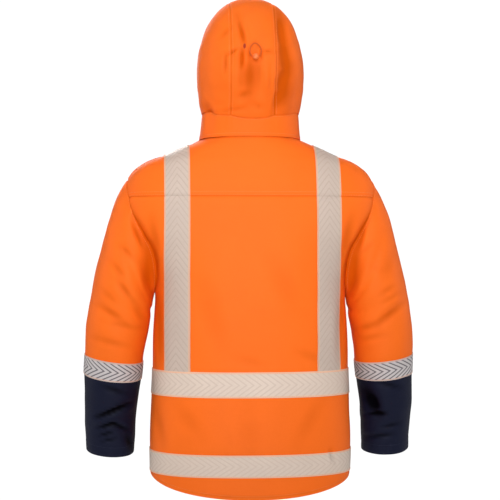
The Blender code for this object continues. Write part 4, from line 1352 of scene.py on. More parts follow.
# --- torso
@dataclass
class Torso:
    """Back, yoke, fronts, their tapes and the shoulder braces."""

    form: TorsoForm
    wardrobe: Wardrobe
    yoke_seam: Seam = Seam(0.0018, 0.0030, 0.6, 0.0011)
    armhole_width: float = 0.0110
    ease_width: float = 0.0240
    side_fade: float = 0.022
    neck_fade: float = 0.02
    hem_thick: float = 0.0005
    hem_width: float = 0.010
    # painted shade line along the hem's stitching
    hem_line: tuple[float, float, float] = (0.006, 0.25, 0.0016)  # inset, strength and width
    swells: tuple[Swell, Swell] = (Swell(0.11, 0.0016, 3.1), Swell(0.045, 0.0005, 8.2))
    rows_per_step: int = 7
    columns_per_step: int = 6
    back_creases: tuple[Crease, ...] = in_mm(
        Crease,
        (187, -318, 183, -435, 2.6, 9), (-174, -330, -170, -440, 2.6, 9),
        (-88, -419.4, -136, -438.8, 1.1, 10), (28.4, -431, -14.3, -442.7, 0.8, 9),
        (145, -532, 106, -574.7, 0.9, 15), (-127, -522, -88, -590, 0.9, 15), (14, -540, 9, -600, 0.6, 22),
        (-151.5, -619, -159, -642, 4.6, 4.6), (199, -165, 190, -235, 2.2, 10),
        (-195, -160, -182, -225, 2.4, 10), (190, -545, 178, -600, 1.6, 9), (94, -300, 64, -400, 0.8, 22),
        (-41, -250, -76, -330, 0.8, 24),
    )
    front_creases: tuple[Crease, ...] = in_mm(
        Crease,
        (180, -240, 130, -330, 3, 12), (-182, -235, -135, -315, 2.8, 11), (50, -90, 65, -170, 2, 14),
        (-45, -95, -60, -180, 1.8, 13), (30, -415, 90, -440, 1.6, 9), (-30, -425, -100, -445, 1.6, 10),
        (130, -540, 90, -600, 1.6, 14), (-120, -530, -80, -595, 1.5, 15), (30, -250, 40, -330, 1, 18),
        (-35, -330, -45, -400, 1, 18),
    )

    def __post_init__(self) -> None:
        """Works out the finished surfaces."""
        f = self.form
        self.rows = steps_between(0, f.row_hem, f.row_hem * self.rows_per_step, (0, f.row_yoke, f.row_hem))
        self.columns = steps_between(0, f.column_side, f.column_side * self.columns_per_step,
                                     (0, f.column_side))
        angles = [f.armhole_angle(min(row, f.row_underarm)) for row in self.rows]
        self.side_ways = np.array([self.side_way(row, angle) for row, angle in zip(self.rows, angles)])
        self.sinks = np.array([[f.armhole_sink(angle) if row <= f.row_underarm else 0.0]
                               for row, angle in zip(self.rows, angles)])
        self.eases = np.array([[f.armhole_ease(angle)] for angle in angles])
        self.side_seam = np.array([[f.armhole_seam(angle)] for angle in angles])
        left, right = self.half(Side.BACK, Hand.LEFT), self.half(Side.BACK, Hand.RIGHT)
        points = np.concatenate([right.points[:, :0:-1], left.points], axis=1)
        valley = np.concatenate([right.valley[:, :0:-1], left.valley], axis=1)
        self.back = Surface(points, self.outward(grid_normals(points), Side.BACK), valley)
        self.front = {hand: self.half(Side.FRONT, hand) for hand in Hand}

    def side_way(self, row: float, angle: float) -> Grid:
        """Direction shared across the left armhole or side seam at a row, in the back."""
        edge = self.form.armhole_way(angle)
        if row <= self.form.row_underarm:
            return edge
        share = min(1.0, row - self.form.row_underarm)
        way = edge * (1 - share) + np.array([1.0, 0.0, 0.0]) * share
        return way / np.linalg.norm(way)

    def half(self, side: Side, hand: Hand) -> Surface:
        """Half of one side with its creases, swells and seams.

        Args:
            side: back or front.
            hand: wearer's hand.

        Returns:
            The finished surface, from centre to side.
        """
        f = self.form
        base = np.array([[f.point(column, row, side) for column in self.columns] for row in self.rows])
        points = mirrored(base, hand)
        normals = self.outward(grid_normals(points), side)
        down, across = arc_lengths(base, 0), arc_lengths(base, 1)
        to_side = across[:, -1:] - across
        top, yoke, hem = (np.abs(down - down[self.rows.index(float(row))])
                          for row in (0, f.row_yoke, f.row_hem))
        ways = (self.side_ways * np.array([hand.value, side.value, 1.0]))[:, None]
        normals = turned(normals, np.broadcast_to(ways, points.shape), to_side)
        depth = crease_depth(points[..., 0], points[..., 2],
                             self.back_creases if side is Side.BACK else self.front_creases)
        fade = np.clip(to_side / self.side_fade, 0, 1) ** EDGE_LOSS
        sink = groove(to_side, self.sinks, self.armhole_width)
        ease = groove(to_side, self.eases, self.ease_width)
        swell = sum(swell.over(points) for swell in self.swells)
        height = (swell - depth) * fade * np.clip(top / self.neck_fade, 0, 1) - sink - ease
        height -= ARMHOLE_SEAM.valley(to_side) * self.side_seam
        height -= ARMHOLE_SEAM.valley(top)
        height += self.hem_thick * np.exp(-(hem / self.hem_width) ** 4)
        # painted shade: colour darkened in the creases, the armhole's sink and along the seams and hem
        # stitching
        valley = shade(depth * fade + sink) + ARMHOLE_SEAM.shadow(to_side) * self.side_seam
        if side is Side.BACK:
            height -= self.yoke_seam.valley(yoke)
            valley += self.yoke_seam.shadow(yoke)
        inset, strength, width = self.hem_line
        valley += groove(hem - inset, strength, width)
        points = points + normals * height[..., None]
        if side is Side.BACK:
            points[:, 0, 0] = 0.0
        return Surface(points, self.outward(grid_normals(points), side), np.clip(valley, 0, 1))

    @staticmethod
    def outward(normals: Grid, side: Side) -> Grid:
        """Normals turned to face their side."""
        return normals if (normals[..., 1].mean() > 0) == (side is Side.BACK) else -normals

    def span(self, first: float, last: float) -> slice:
        """Slice of the rows between two row numbers."""
        return slice(self.rows.index(float(first)), self.rows.index(float(last)) + 1)

    def build_panels(self) -> None:
        """Back, yoke and fronts, with their topstitching."""
        f, orange = self.form, self.wardrobe["orange"]
        yoke = self.back.part(self.span(0, f.row_yoke))
        panel = self.back.part(self.span(f.row_yoke, f.row_hem))
        lines = [yoke.line_beside(0, -1, 0.0030), yoke.line_beside(0, -1, 0.0090),
                 panel.line_beside(0, -1, 0.0080)]
        for node, surface in (("back_yoke", yoke), ("back_panel", panel)):
            ClothShell(node, surface, orange).build()
        shoulder = slice(self.columns.index(float(f.column_neck)), None)
        for hand, front in self.front.items():
            ClothShell(f"front_{hand.word}", front, orange).build()
            lines += [front.line_beside(1, 0, 0.0030), front.line_beside(0, -1, 0.0060),
                      front.part(slice(None), shoulder).line_beside(0, 0, 0.0030)]
        CLOTH_STITCH.build("panel", lines, self.wardrobe["thread"])

    def build_tapes(self) -> None:
        """Waist and hem hoops and the two braces, with their edge stitching."""
        f = self.form
        for hoop, ends in (("waist", f.waist_tape_rows), ("hem", f.hem_tape_rows)):
            rows = self.span(*ends)
            self.tape(f"{hoop}_tape_back", self.back.part(rows), "hoop_tape", reverse=True)
            for hand, front in self.front.items():
                self.tape(f"{hoop}_tape_front_{hand.word}", front.part(rows), "hoop_tape",
                          reverse=hand is Hand.RIGHT)
        middle = (self.back.points.shape[1] - 1) // 2
        inner, outer = (self.columns.index(float(c)) for c in (f.column_brace_in, f.column_brace_out))
        rows = self.span(0, f.waist_tape_rows[0])
        for hand in Hand:
            left = hand is Hand.LEFT
            first, last = (middle + inner, middle + outer) if left else (middle - outer, middle - inner)
            back = self.back.part(rows, slice(first, last + 1))
            front = self.front[hand].part(rows, slice(inner, outer + 1))
            turn = slice(None) if left else slice(None, None, -1)
            points = np.concatenate([back.points[::-1], front.points[1:, turn]], axis=0)
            valley = np.concatenate([back.valley[::-1], front.valley[1:, turn]], axis=0)
            strip = Surface(points, grid_normals(points), valley)
            self.tape(f"brace_{hand.word}", strip, "brace_tape", lengthways=True)

    def tape(self, node: str, surface: Surface, finish: str, reverse: bool = False,
             lengthways: bool = False) -> None:
        """One stretch of tape and its two rows of stitches."""
        ClothShell(node, surface, self.wardrobe[finish], "film", TAPE_THICK, TAPE_TOP,
                   reverse_u=reverse, across_u=lengthways).build()
        lines = [surface.line_beside(1 if lengthways else 0, edge, TAPE_INSET, TAPE_TOP) for edge in (0, -1)]
        TAPE_STITCH.build(node, lines, self.wardrobe["thread"])


# --- sleeves
@dataclass
class Sleeve:
    """One sleeve: orange upper, navy forearm and the tape round their join."""

    form: SleeveForm
    wardrobe: Wardrobe
    hand: Hand
    creases: tuple[Crease, ...]
    shoulder_creases: int = 2  # the first ones, which the front of the sleeve doesn't share
    echo_drop: tuple[float, float] = (0.012, 0.004)
    echo_growth: float = 1.1
    rings_per_step: int = 10
    places_per_step: int = 4
    armhole_width: float = 0.0140
    ease_width: float = 0.020
    armhole_fade: float = 0.012
    cuff_thick: float = 0.0005
    cuff_width: float = 0.016
    swells: tuple[Swell, Swell] = (Swell(0.070, 0.0022, 20.0), Swell(0.030, 0.0008, 22.0))
    hand_seed: float = 5.0

    def __post_init__(self) -> None:
        """Works out the finished surface."""
        f, torso = self.form, self.form.torso
        self.rings = steps_between(0, f.cuff, f.cuff * self.rings_per_step, (0,))
        places = steps_between(0, f.places, f.places * self.places_per_step)
        base = np.array([[f.point(place, ring) for place in places] for ring in self.rings])
        points = mirrored(base, self.hand)
        lengths = arc_lengths(points, 0)
        angles = [f.armhole_angle(place) for place in places]
        ways = mirrored(np.array([torso.armhole_way(angle) for angle in angles]), self.hand)
        normals = turned(self.normals_of(points), np.broadcast_to(ways[None], points.shape), lengths)
        x, z = points[..., 0], points[..., 2]
        depth = crease_depth(x, z, self.creases) * facing(normals, Side.BACK) \
            + crease_depth(x, z, self.echo()) * facing(normals, Side.FRONT)
        swell = sum(replace(swell, seed=swell.seed + self.hand_seed * self.hand.value).over(points)
                    for swell in self.swells)
        fade = np.clip(lengths / self.armhole_fade, 0, 1) ** EDGE_LOSS
        sink, ease, seam_share = (np.array([[size(angle) for angle in angles]]) for size in
                                  (torso.armhole_sink, torso.armhole_ease, torso.armhole_seam))
        sink = groove(lengths, sink, self.armhole_width)
        height = (swell - depth) * fade - sink + groove(lengths, ease, self.ease_width)
        height -= ARMHOLE_SEAM.valley(lengths) * seam_share
        height += self.cuff_thick * np.exp(-((lengths[-1:] - lengths) / self.cuff_width) ** 4)
        # painted shade: colour darkened in the creases, the armhole's sink and along its seam
        valley = np.clip(shade(depth * fade + sink) + ARMHOLE_SEAM.shadow(lengths) * seam_share, 0, 1)
        points = points + normals * height[..., None]
        points[:, -1] = points[:, 0]
        self.surface = Surface(points, self.normals_of(points), valley)

    def echo(self) -> list[Crease]:
        """The sleeve's creases as they come out on its front, a little lower and wider."""
        start, end = self.echo_drop
        return [Crease(c.x_start, c.z_start - start, c.x_end, c.z_end - end,
                       c.depth * self.echo_growth, c.width * self.echo_growth)
                for c in self.creases[self.shoulder_creases:]]

    @staticmethod
    def normals_of(points: Grid) -> Grid:
        """Outward normals of a tube's grid, judged ring by ring."""
        normals = grid_normals(points, wrap=True)
        middles = points[:, :-1].mean(axis=1, keepdims=True)
        return normals if ((points - middles) * normals).sum() > 0 else -normals

    def part(self, first: float, last: float) -> Surface:
        """The surface between two ring numbers."""
        return self.surface.part(slice(self.rings.index(float(first)), self.rings.index(float(last)) + 1))

    def build(self) -> None:
        """Upper sleeve, forearm, tape and stitching."""
        f, word = self.form, self.hand.word
        upper, lower = self.part(0, f.tape_bottom), self.part(f.tape_bottom, f.cuff)
        band = self.part(f.tape_top, f.tape_bottom)
        ClothShell(f"sleeve_{word}", upper, self.wardrobe["orange"], wrap=True).build()
        ClothShell(f"forearm_{word}", lower, self.wardrobe["navy"], wrap=True).build()
        ClothShell(f"sleeve_tape_{word}", band, self.wardrobe["sleeve_tape"], "film", TAPE_THICK, TAPE_TOP,
                   wrap=True, reverse_u=self.hand is Hand.RIGHT).build()
        lines = [band.line_beside(0, edge, TAPE_INSET, TAPE_TOP) for edge in (0, -1)]
        lines.append(upper.line_beside(0, 0, 0.0050))
        TAPE_STITCH.build(f"sleeve_{word}", lines, self.wardrobe["thread"])
        CLOTH_STITCH.build(f"cuff_{word}", [lower.line_beside(0, -1, 0.0200)], self.wardrobe["dark_thread"])


# --- hood
@dataclass
class Hood:
    """Three-piece hood with its neck band."""

    form: HoodForm
    torso: TorsoForm
    wardrobe: Wardrobe
    along_steps: int = 112
    side_steps: int = 60
    centre_steps: int = 36
    panel_seam: Seam = Seam(0.0008, 0.0026, 0.55, 0.0011)
    # painted shade line along the neck seam
    neck_line: tuple[float, float] = (0.2, 0.0013)  # strength and width
    swells: tuple[Swell, Swell] = (Swell(0.060, 0.0014, 41.0), Swell(0.024, 0.0009, 47.0))
    band_rows: int = 10
    band_lift: float = 0.0015
    band_flare: float = 0.35
    band_belly: float = 0.0006
    band_tuck: tuple[float, float] = (0.0014, 0.08)  # depth, and share of the height
    # painted shade lines along the band's neck seam and its lower stitching
    band_neck_line: tuple[float, float] = (0.30, 0.0014)
    band_foot_line: tuple[float, float, float] = (0.006, 0.15, 0.0015)
    band_foot: tuple[tuple[float, float], ...] = (
        (-0.073, -0.014), (-0.035, -0.003), (0.000, 0.0005), (0.070, 0.003))
    creases: tuple[Crease, ...] = in_mm(
        Crease,
        (-54, 244, -59, 185, 6.2, 11), (-60, 183, -64, 135, 5.6, 12), (-63, 135, -52, 92, 5.6, 11),
        (-52, 92, -41, 56, 4, 10), (-50, 165, -46, 110, 2, 6), (-71, 115, -62, 56, 4.2, 13),
        (-83, 200, -81, 70, 1.8, 14), (-33.5, 151, -33.5, 83, 2.2, 4.5), (-23, 140, -23, 90, -2, 7),
        (-12.5, 144, -14, 100, 1.4, 5.6), (6, 149, 10, 92, 4.2, 16), (27.5, 140, 29, 96, 1.4, 6),
        (27.5, 222, 20, 186, 5, 4.8), (23.5, 170, 24.5, 138, 5, 4.2), (49, 162, 31.5, 172.5, 3.6, 3.6),
        (-20, 167, -39.5, 169, 3.8, 3.4), (55.7, 161, 55.7, 128, 3.2, 3.4), (62, 198, 47, 214, 2, 6),
        (89, 59, 82, 42, 5, 8), (33, 250, 29, 230, 1.4, 7), (-30, 245, -33, 205, 1.4, 7),
        (12, 86, 30, 80, 1.4, 6), (-16, 59, -6, 64, 1.6, 6), (62, 52, 20, 58, 1.4, 4.5),
        # the last five ring the cord's loop and the toggle's foot: shallow grooves whose painted shade stands
        # in for the shadow that cord and toggle cast
        (9, 156, 9.6, 170, 1.6, 2.6), (9, 174, 0, 185, 1.6, 2.6), (-4, 184, -14, 174, 1.8, 2.6),
        (-14.6, 170, -15, 154, 3, 3), (0, 149, -10, 150, 2.2, 2.6),
    )
    hollows: tuple[Crease, ...] = in_mm(
        Crease,
        (-95, 105, -90, 50, 5, 15),
    )
    front_creases: tuple[Crease, ...] = in_mm(
        Crease,
        (85, 190, 95, 100, 2, 12), (-80, 180, -92, 95, 2.2, 12),
    )

    def normals_of(self, points: Grid) -> Grid:
        """Outward normals of a hood grid."""
        normals = grid_normals(points)
        middle = np.array([0.0, self.form.ear_y, self.form.ear_z])
        return normals if ((points - middle) * normals).sum() > 0 else -normals

    def centre(self) -> Surface:
        """Centre panel, face to neck, from the wearer's right to left."""
        f = self.form
        xs = steps_between(-f.panel_half, f.panel_half, self.centre_steps, (-f.panel_half, f.panel_half))
        base = np.array([[f.centre_point(x, j / self.along_steps) for x in xs]
                         for j in range(self.along_steps + 1)])
        return self.raised(base, f.panel_half - np.abs(base[..., 0]), arc_lengths(base[::-1], 0)[::-1])

    def side(self, hand: Hand) -> Surface:
        """One side panel, rows down from the seam, each from face to nape."""
        f = self.form
        rows = steps_between(0, 1, self.side_steps, (0, 1))
        base = mirrored(np.array([[f.side_point(k / self.along_steps, j) for k in range(self.along_steps + 1)]
                                  for j in rows]), hand)
        down, along = arc_lengths(base, 0), arc_lengths(base, 1)
        return self.raised(base, down, np.minimum(down[-1:] - down, along[:, -1:] - along))

    def raised(self, base: Grid, to_seam: Grid, to_neck: Grid) -> Surface:
        """A smooth grid with its creases, swells and the seams round it.

        Args:
            base: points on the smooth form.
            to_seam: distance from the seam beside the centre panel.
            to_neck: distance from the neck seam.

        Returns:
            The finished surface.
        """
        radial = base - np.array([0.0, self.form.ear_y, self.form.ear_z])
        plain = radial / np.linalg.norm(radial, axis=-1, keepdims=True)
        ways = turned(self.normals_of(base), plain, np.minimum(to_seam, to_neck))
        x, z = base[..., 0], base[..., 2]
        back, front = facing(ways, Side.BACK), facing(ways, Side.FRONT)
        depth = crease_depth(x, z, self.creases) * back + crease_depth(x, z, self.front_creases) * front
        swell = sum(swell.over(base) for swell in self.swells) - crease_depth(x, z, self.hollows) * back
        height = swell - depth - self.panel_seam.valley(to_seam)
        # painted shade: colour darkened in the creases and along the seams
        valley = shade(depth) + self.panel_seam.shadow(to_seam) + groove(to_neck, *self.neck_line)
        points = base + ways * height[..., None]
        return Surface(points, self.normals_of(points), np.clip(valley, 0, 1))

    def build(self) -> None:
        """Panels, band and stitching."""
        orange = self.wardrobe["orange"]
        centre = self.centre()
        ClothShell("hood_centre", centre, orange).build()
        lines = [centre.line_beside(1, 0, 0.0040), centre.line_beside(1, -1, 0.0040),
                 centre.line_beside(0, 0, 0.0160)]
        edges = {}
        for hand in Hand:
            side = self.side(hand)
            ClothShell(f"hood_side_{hand.word}", side, orange).build()
            lines += [side.line_beside(0, 0, 0.0040), side.line_beside(1, 0, 0.0160)]
            edges[hand] = np.concatenate([side.points[1:, -1], side.points[-1, -2::-1]])
        self.build_band(np.concatenate([edges[Hand.LEFT][::-1], centre.points[-1, ::-1], edges[Hand.RIGHT]]))
        FINE_STITCH.build("hood", lines, self.wardrobe["thread"])

    def foot_point(self, top: Grid) -> Grid:
        """Place on the shoulders under a point of the hood's neck seam."""
        torso, level_at = self.torso, Curve(self.band_foot)
        side = Side.BACK if top[1] > 0 else Side.FRONT
        level = level_at(float(top[1]))
        wide, deep = torso.half_width(level), torso.depth(level, side)
        turn = math.atan2(abs(top[1]) / deep, abs(top[0]) / wide)
        x = wide * math.cos(turn) ** (2 / torso.power) * (1 if top[0] > 0 else -1)
        y = side.value * deep * math.sin(turn) ** (2 / torso.power)
        out = Vector((x, y, 0)).normalized()
        return np.array([x, y, level]) \
            + np.array([out.x, out.y, self.band_flare]) * (self.band_lift + SHELL_THICK)

    def build_band(self, top: Grid) -> None:
        """Skirt of the hood, from its neck seam to a free edge on the shoulders."""
        foot = np.array([self.foot_point(point) for point in top])
        out = top * np.array([1.0, 1.0, 0.0])
        out /= np.linalg.norm(out, axis=-1, keepdims=True)
        tuck, tuck_share = self.band_tuck
        rows = []
        for j in range(self.band_rows + 1):
            t = j / self.band_rows
            belly = -self.band_belly * math.sin(math.pi * t) - tuck * math.exp(-(t / tuck_share) ** 2)
            rows.append(top * (1 - t) + foot * t + out * belly)
        points = np.array(rows)
        normals = grid_normals(points)
        if (points * np.array([1.0, 1.0, 0.0]) * normals).sum() < 0:
            normals = -normals
        down = arc_lengths(points, 0)
        inset, strength, width = self.band_foot_line
        valley = groove(down, *self.band_neck_line) + groove(down[-1:] - down - inset, strength, width)
        band = Surface(points, normals, valley)
        ClothShell("hood_band", band, self.wardrobe["orange"]).build()
        lines = [band.line_beside(0, 0, 0.0030), band.line_beside(0, -1, 0.0060)]
        FINE_STITCH.build("hood_band", lines, self.wardrobe["thread"])


# --- adjuster
@dataclass
class Adjuster:
    """Cord loop on the hood's back, its toggle and the worked eyelet that it leaves by."""

    form: HoodForm
    wardrobe: Wardrobe
    toggle_x: float = -0.0030
    toggle_z: float = 0.1570
    toggle_radius: float = 0.0060
    toggle_rise: float = 0.75  # these five are shares of the toggle's radius
    body_radius: float = 0.97
    body_length: float = 1.42
    rounding: float = 0.42
    rim: float = 0.10
    dish: float = 0.16
    gap: float = 0.0003
    eyelet_x: float = 0.0184
    eyelet_z: float = 0.1777
    eyelet_radius: float = 0.0028
    eyelet_thread: float = 0.0006
    eyelet_widen: float = 0.95
    eyelet_stretch: float = 1.9
    eyelet_flatten: float = 0.7
    hole_radius: float = 0.0027
    hole_depth: float = 0.0008
    cord_radius: float = 0.0014
    cord_steps: int = 8
    cord_spots: tuple[tuple[float, float, float], ...] = (
        (0.0045, 0.1570, 0.0052), (0.0082, 0.1655, 0.0056), (0.0062, 0.1758, 0.0054),
        (-0.0018, 0.1822, 0.0050), (-0.0096, 0.1776, 0.0054), (-0.0134, 0.1675, 0.0056),
        (-0.0105, 0.1570, 0.0052),
    )

    def surface(self, x: float, z: float, lift: float, step: float = 0.001) -> Vector:
        """Point above the hood's back over a place in the back view."""
        base = self.form.back_point(x, z)
        beside = self.form.back_point(x + step, z) - base
        above = self.form.back_point(x, z + step) - base
        return base + beside.cross(above).normalized() * (-lift if beside.cross(above).y < 0 else lift)

    def turn(self, x: float, z: float) -> Matrix:
        """Turn that stands +Z on the hood's back at a place."""
        out = (self.surface(x, z, 0.01) - self.surface(x, z, 0.0)).normalized()
        return Vector((0, 0, 1)).rotation_difference(out).to_matrix()

    def build(self) -> None:
        """Toggle, cord and eyelet."""
        x, z, radius = self.toggle_x, self.toggle_z, self.toggle_radius
        bm = bmesh.new()
        bmesh.ops.create_cone(bm, cap_ends=True, segments=28, radius1=radius * self.body_radius,
                              radius2=radius * self.body_radius, depth=radius * self.body_length)
        bmesh.ops.bevel(bm, geom=[edge for edge in bm.edges if len(edge.link_faces) == 2
                                  and edge.calc_face_angle(0) > 1.0],
                        offset=radius * self.rounding, segments=4, profile=0.5, affect="EDGES", material=-1)
        top = max(bm.faces, key=lambda face: face.calc_center_median().z)
        bmesh.ops.inset_region(bm, faces=[top], thickness=radius * self.rim, depth=-radius * self.dish)
        bmesh.ops.rotate(bm, cent=(0, 0, 0), matrix=self.turn(x, z), verts=bm.verts[:])
        centre = self.surface(x, z, radius * self.toggle_rise + self.gap)
        bmesh.ops.translate(bm, vec=centre, verts=bm.verts[:])
        toggle = add_object("adjuster_toggle_body", bm, self.wardrobe["toggle"])
        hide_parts("adjuster_toggle")
        self.build_cord()
        self.build_eyelet()

    def build_cord(self) -> None:
        """Elastic cord, out of the toggle, round over the eyelet and back."""
        route = [self.surface(*spot) for spot in self.cord_spots]
        axes = [Curve((k, point[axis]) for k, point in enumerate(route)) for axis in range(3)]
        points = [Vector(axis(k / self.cord_steps) for axis in axes)
                  for k in range(self.cord_steps * (len(route) - 1) + 1)]
        curve = bpy.data.curves.new("adjuster_cord_loop", "CURVE")
        curve.dimensions = "3D"
        curve.bevel_depth = self.cord_radius
        curve.bevel_resolution = 4
        curve.use_fill_caps = True
        spline = curve.splines.new("POLY")
        spline.points.add(len(points) - 1)
        for spot, point in zip(spline.points, points):
            spot.co = (*point, 1)
        spline.use_smooth = True
        look = self.wardrobe["cord"]
        curve.materials.append(look.material)
        cord = bpy.data.objects.new("adjuster_cord_loop", curve)
        bpy.context.scene.collection.objects.link(cord)
        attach(cord, BODY)
        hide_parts("adjuster_cord")

    def build_eyelet(self) -> None:
        """Worked oval buttonhole and its shaded inside."""
        x, z = self.eyelet_x, self.eyelet_z
        rim = bmesh.new()
        bmesh.ops.create_circle(rim, segments=10, radius=self.eyelet_thread)
        bmesh.ops.rotate(rim, cent=(0, 0, 0), matrix=Matrix.Rotation(math.pi / 2, 3, "X"), verts=rim.verts[:])
        bmesh.ops.translate(rim, vec=(self.eyelet_radius, 0, 0), verts=rim.verts[:])
        bmesh.ops.spin(rim, geom=rim.edges[:] + rim.verts[:], cent=(0, 0, 0), axis=(0, 0, 1),
                       angle=2 * math.pi, steps=28, use_merge=True)
        bmesh.ops.recalc_face_normals(rim, faces=rim.faces[:])
        # the hole is a dark disc: painted shade inside the eyelet
        hole = bmesh.new()
        bmesh.ops.create_cone(hole, cap_ends=True, segments=24, radius1=self.hole_radius,
                              radius2=self.hole_radius, depth=self.hole_depth)
        for name, bm, key in (("eyelet_rim", rim, "cord"), ("eyelet_hole", hole, "hole")):
            bmesh.ops.scale(bm, vec=(1.0, 1.0, self.eyelet_flatten), verts=bm.verts[:])
            bmesh.ops.rotate(bm, cent=(0, 0, 0), matrix=self.turn(x, z), verts=bm.verts[:])
            bmesh.ops.scale(bm, vec=(self.eyelet_widen, 1.0, self.eyelet_stretch), verts=bm.verts[:])
            bmesh.ops.translate(bm, vec=self.surface(x, z, self.gap), verts=bm.verts[:])
            add_object(name, bm, self.wardrobe[key])



# --- collar and zip
@dataclass
class Closure:
    """Stand collar, zip halves with their teeth, slider and pull."""

    form: TorsoForm
    wardrobe: Wardrobe
    back_height: float = 0.060
    front_height: float = 0.066
    lean: float = 0.05
    collar_rows: int = 14
    neck_steps: int = 24
    collar_thick: float = 0.0028
    collar_gap: float = 0.0003
    collar_fade: float = 0.01
    collar_swell: Swell = Swell(0.05, 0.0007, 61.0)
    # painted shade line along the collar's foot at the neckline
    collar_line: tuple[float, float] = (0.3, 0.0015)  # strength and width
    zip_rows_per_step: int = 6
    zip_gap_half: float = 0.0001
    zip_tape_edge: float = 0.0102
    zip_tape_steps: int = 4
    zip_tape_thick: float = 0.0012
    zip_recess: float = 0.0004
    zip_ends: float = 0.004
    tooth_pitch: float = 0.0026
    tooth_size: tuple[float, float, float] = (0.0042, 0.0013, 0.0012)
    tooth_bevel: float = 0.0003
    tooth_offset: float = 0.0009
    tooth_stand: float = 0.0003

    def collar_point(self, base: Vector, up: float) -> Vector:
        """Point of the collar above a neckline point."""
        frontness = max(0.0, -base.y / self.form.front_depth(self.form.front_neck_z))
        height = lerp(self.back_height, self.front_height, frontness)
        lean = self.lean * up * (1 - frontness)
        edge = math.copysign(self.form.zip_edge, base.x)
        x = edge + (base.x - edge) * (1 - self.lean * up)
        return Vector((x if base.x else 0.0, base.y * (1 - lean), base.z + self.collar_gap + height * up))

    def build(self) -> None:
        """Collar, zip tapes, teeth and the metal parts' finish."""
        self.build_collar()
        self.build_zip()
        for node in ("zip_slider", "zip_pull"):
            for slot in bpy.data.objects[node].material_slots:
                slot.material = self.wardrobe["metal"].material

    def build_collar(self) -> None:
        """Collar wall with topstitching along its top and bottom."""
        f = self.form
        columns = steps_between(0, f.column_neck, self.neck_steps)
        left = [f.point(column, 0, Side.FRONT) for column in columns] \
            + [f.point(column, 0, Side.BACK) for column in reversed(columns[:-1])]
        loop = left + [Vector((-p.x, p.y, p.z)) for p in reversed(left[:-1])]
        rows = [j / self.collar_rows for j in range(self.collar_rows + 1)]
        points = np.array([[self.collar_point(base, up) for base in loop] for up in rows])
        normals = grid_normals(points)
        fade = np.clip(arc_lengths(points, 0) / self.collar_fade, 0, 1)
        points = points + normals * (self.collar_swell.over(points) * fade)[..., None]
        collar = Surface(points, normals, groove(arc_lengths(points, 0), *self.collar_line))
        ClothShell("collar", collar, self.wardrobe["orange"], thickness=self.collar_thick).build()
        lines = [collar.line_beside(0, 0, 0.0040), collar.line_beside(0, -1, 0.0060)]
        FINE_STITCH.build("collar", lines, self.wardrobe["thread"])

    def zip_line(self) -> list[Vector]:
        """Points down the middle of the zip, from the collar's top to the hem."""
        f = self.form
        edge = f.point(0, 0, Side.FRONT)
        line = [self.collar_point(edge, 1 - j / self.collar_rows) for j in range(self.collar_rows + 1)]
        rows = steps_between(0, f.row_hem, f.row_hem * self.zip_rows_per_step)[1:]
        line += [f.point(0, row, Side.FRONT) for row in rows]
        return [Vector((0, p.y, p.z)) for p in line]

    def build_zip(self) -> None:
        """Zip tapes and two rows of teeth that mesh."""
        line = np.array(self.zip_line())
        ahead = np.gradient(line, axis=0)
        normals = np.cross(ahead, np.array([1.0, 0.0, 0.0]))
        normals /= np.linalg.norm(normals, axis=1, keepdims=True)
        if normals[:, 1].mean() > 0:
            normals = -normals
        for hand in Hand:
            xs = [hand.value * lerp(self.zip_gap_half, self.zip_tape_edge, k / self.zip_tape_steps)
                  for k in range(self.zip_tape_steps + 1)]
            points = np.stack([line + np.array([x, 0, 0]) for x in xs], axis=1)
            ways = np.repeat(normals[:, None], len(xs), axis=1)
            tape = Surface(points - ways * self.zip_recess, ways)
            ClothShell(f"zip_{hand.word}", tape, self.wardrobe["navy"], "tape", self.zip_tape_thick,
                       across_u=True).build()
        self.build_teeth(line, normals)

    def build_teeth(self, line: Grid, normals: Grid) -> None:
        """Moulded teeth, alternating left and right."""
        tooth = bmesh.new()
        bmesh.ops.create_cube(tooth, size=1)
        bmesh.ops.scale(tooth, vec=self.tooth_size, verts=tooth.verts[:])
        bmesh.ops.bevel(tooth, geom=tooth.edges[:], offset=self.tooth_bevel, segments=1, profile=0.5,
                        affect="EDGES", material=-1)
        reach, across, places = arc_lengths(line, 0), Vector((1, 0, 0)), []
        spots = np.arange(self.zip_ends, reach[-1] - self.zip_ends, self.tooth_pitch / 2)
        for number, at in enumerate(spots):
            up = Vector(at_reach(at, reach, normals)).normalized()
            matrix = Matrix((across, -up, across.cross(up).normalized())).transposed().to_4x4()
            aside = across * (self.tooth_offset if number % 2 else -self.tooth_offset)
            sunk = up * (self.zip_recess - self.tooth_stand)
            matrix.translation = Vector(at_reach(at, reach, line)) + aside - sunk
            places.append(matrix)
        add_object("zip_teeth", copies(tooth, places), self.wardrobe["teeth"])


# --- stage
@dataclass(frozen=True)
class SoftLight:
    """One square studio light behind a grid that keeps its beam together."""

    name: str
    place: tuple[float, float, float]
    aim: tuple[float, float, float]
    size: float
    power: float
    spread_degrees: float = 180.0

    def build(self) -> None:
        """Adds the light to the scene, facing its aim."""
        light = bpy.data.lights.new(self.name, "AREA")
        light.shape = "SQUARE"
        light.size = self.size
        light.energy = self.power
        light.spread = math.radians(self.spread_degrees)
        holder = bpy.data.objects.new(self.name, light)
        holder.location = self.place
        holder.rotation_euler = (Vector(self.aim) - Vector(self.place)).to_track_quat("-Z", "Y").to_euler()
        bpy.context.scene.collection.objects.link(holder)


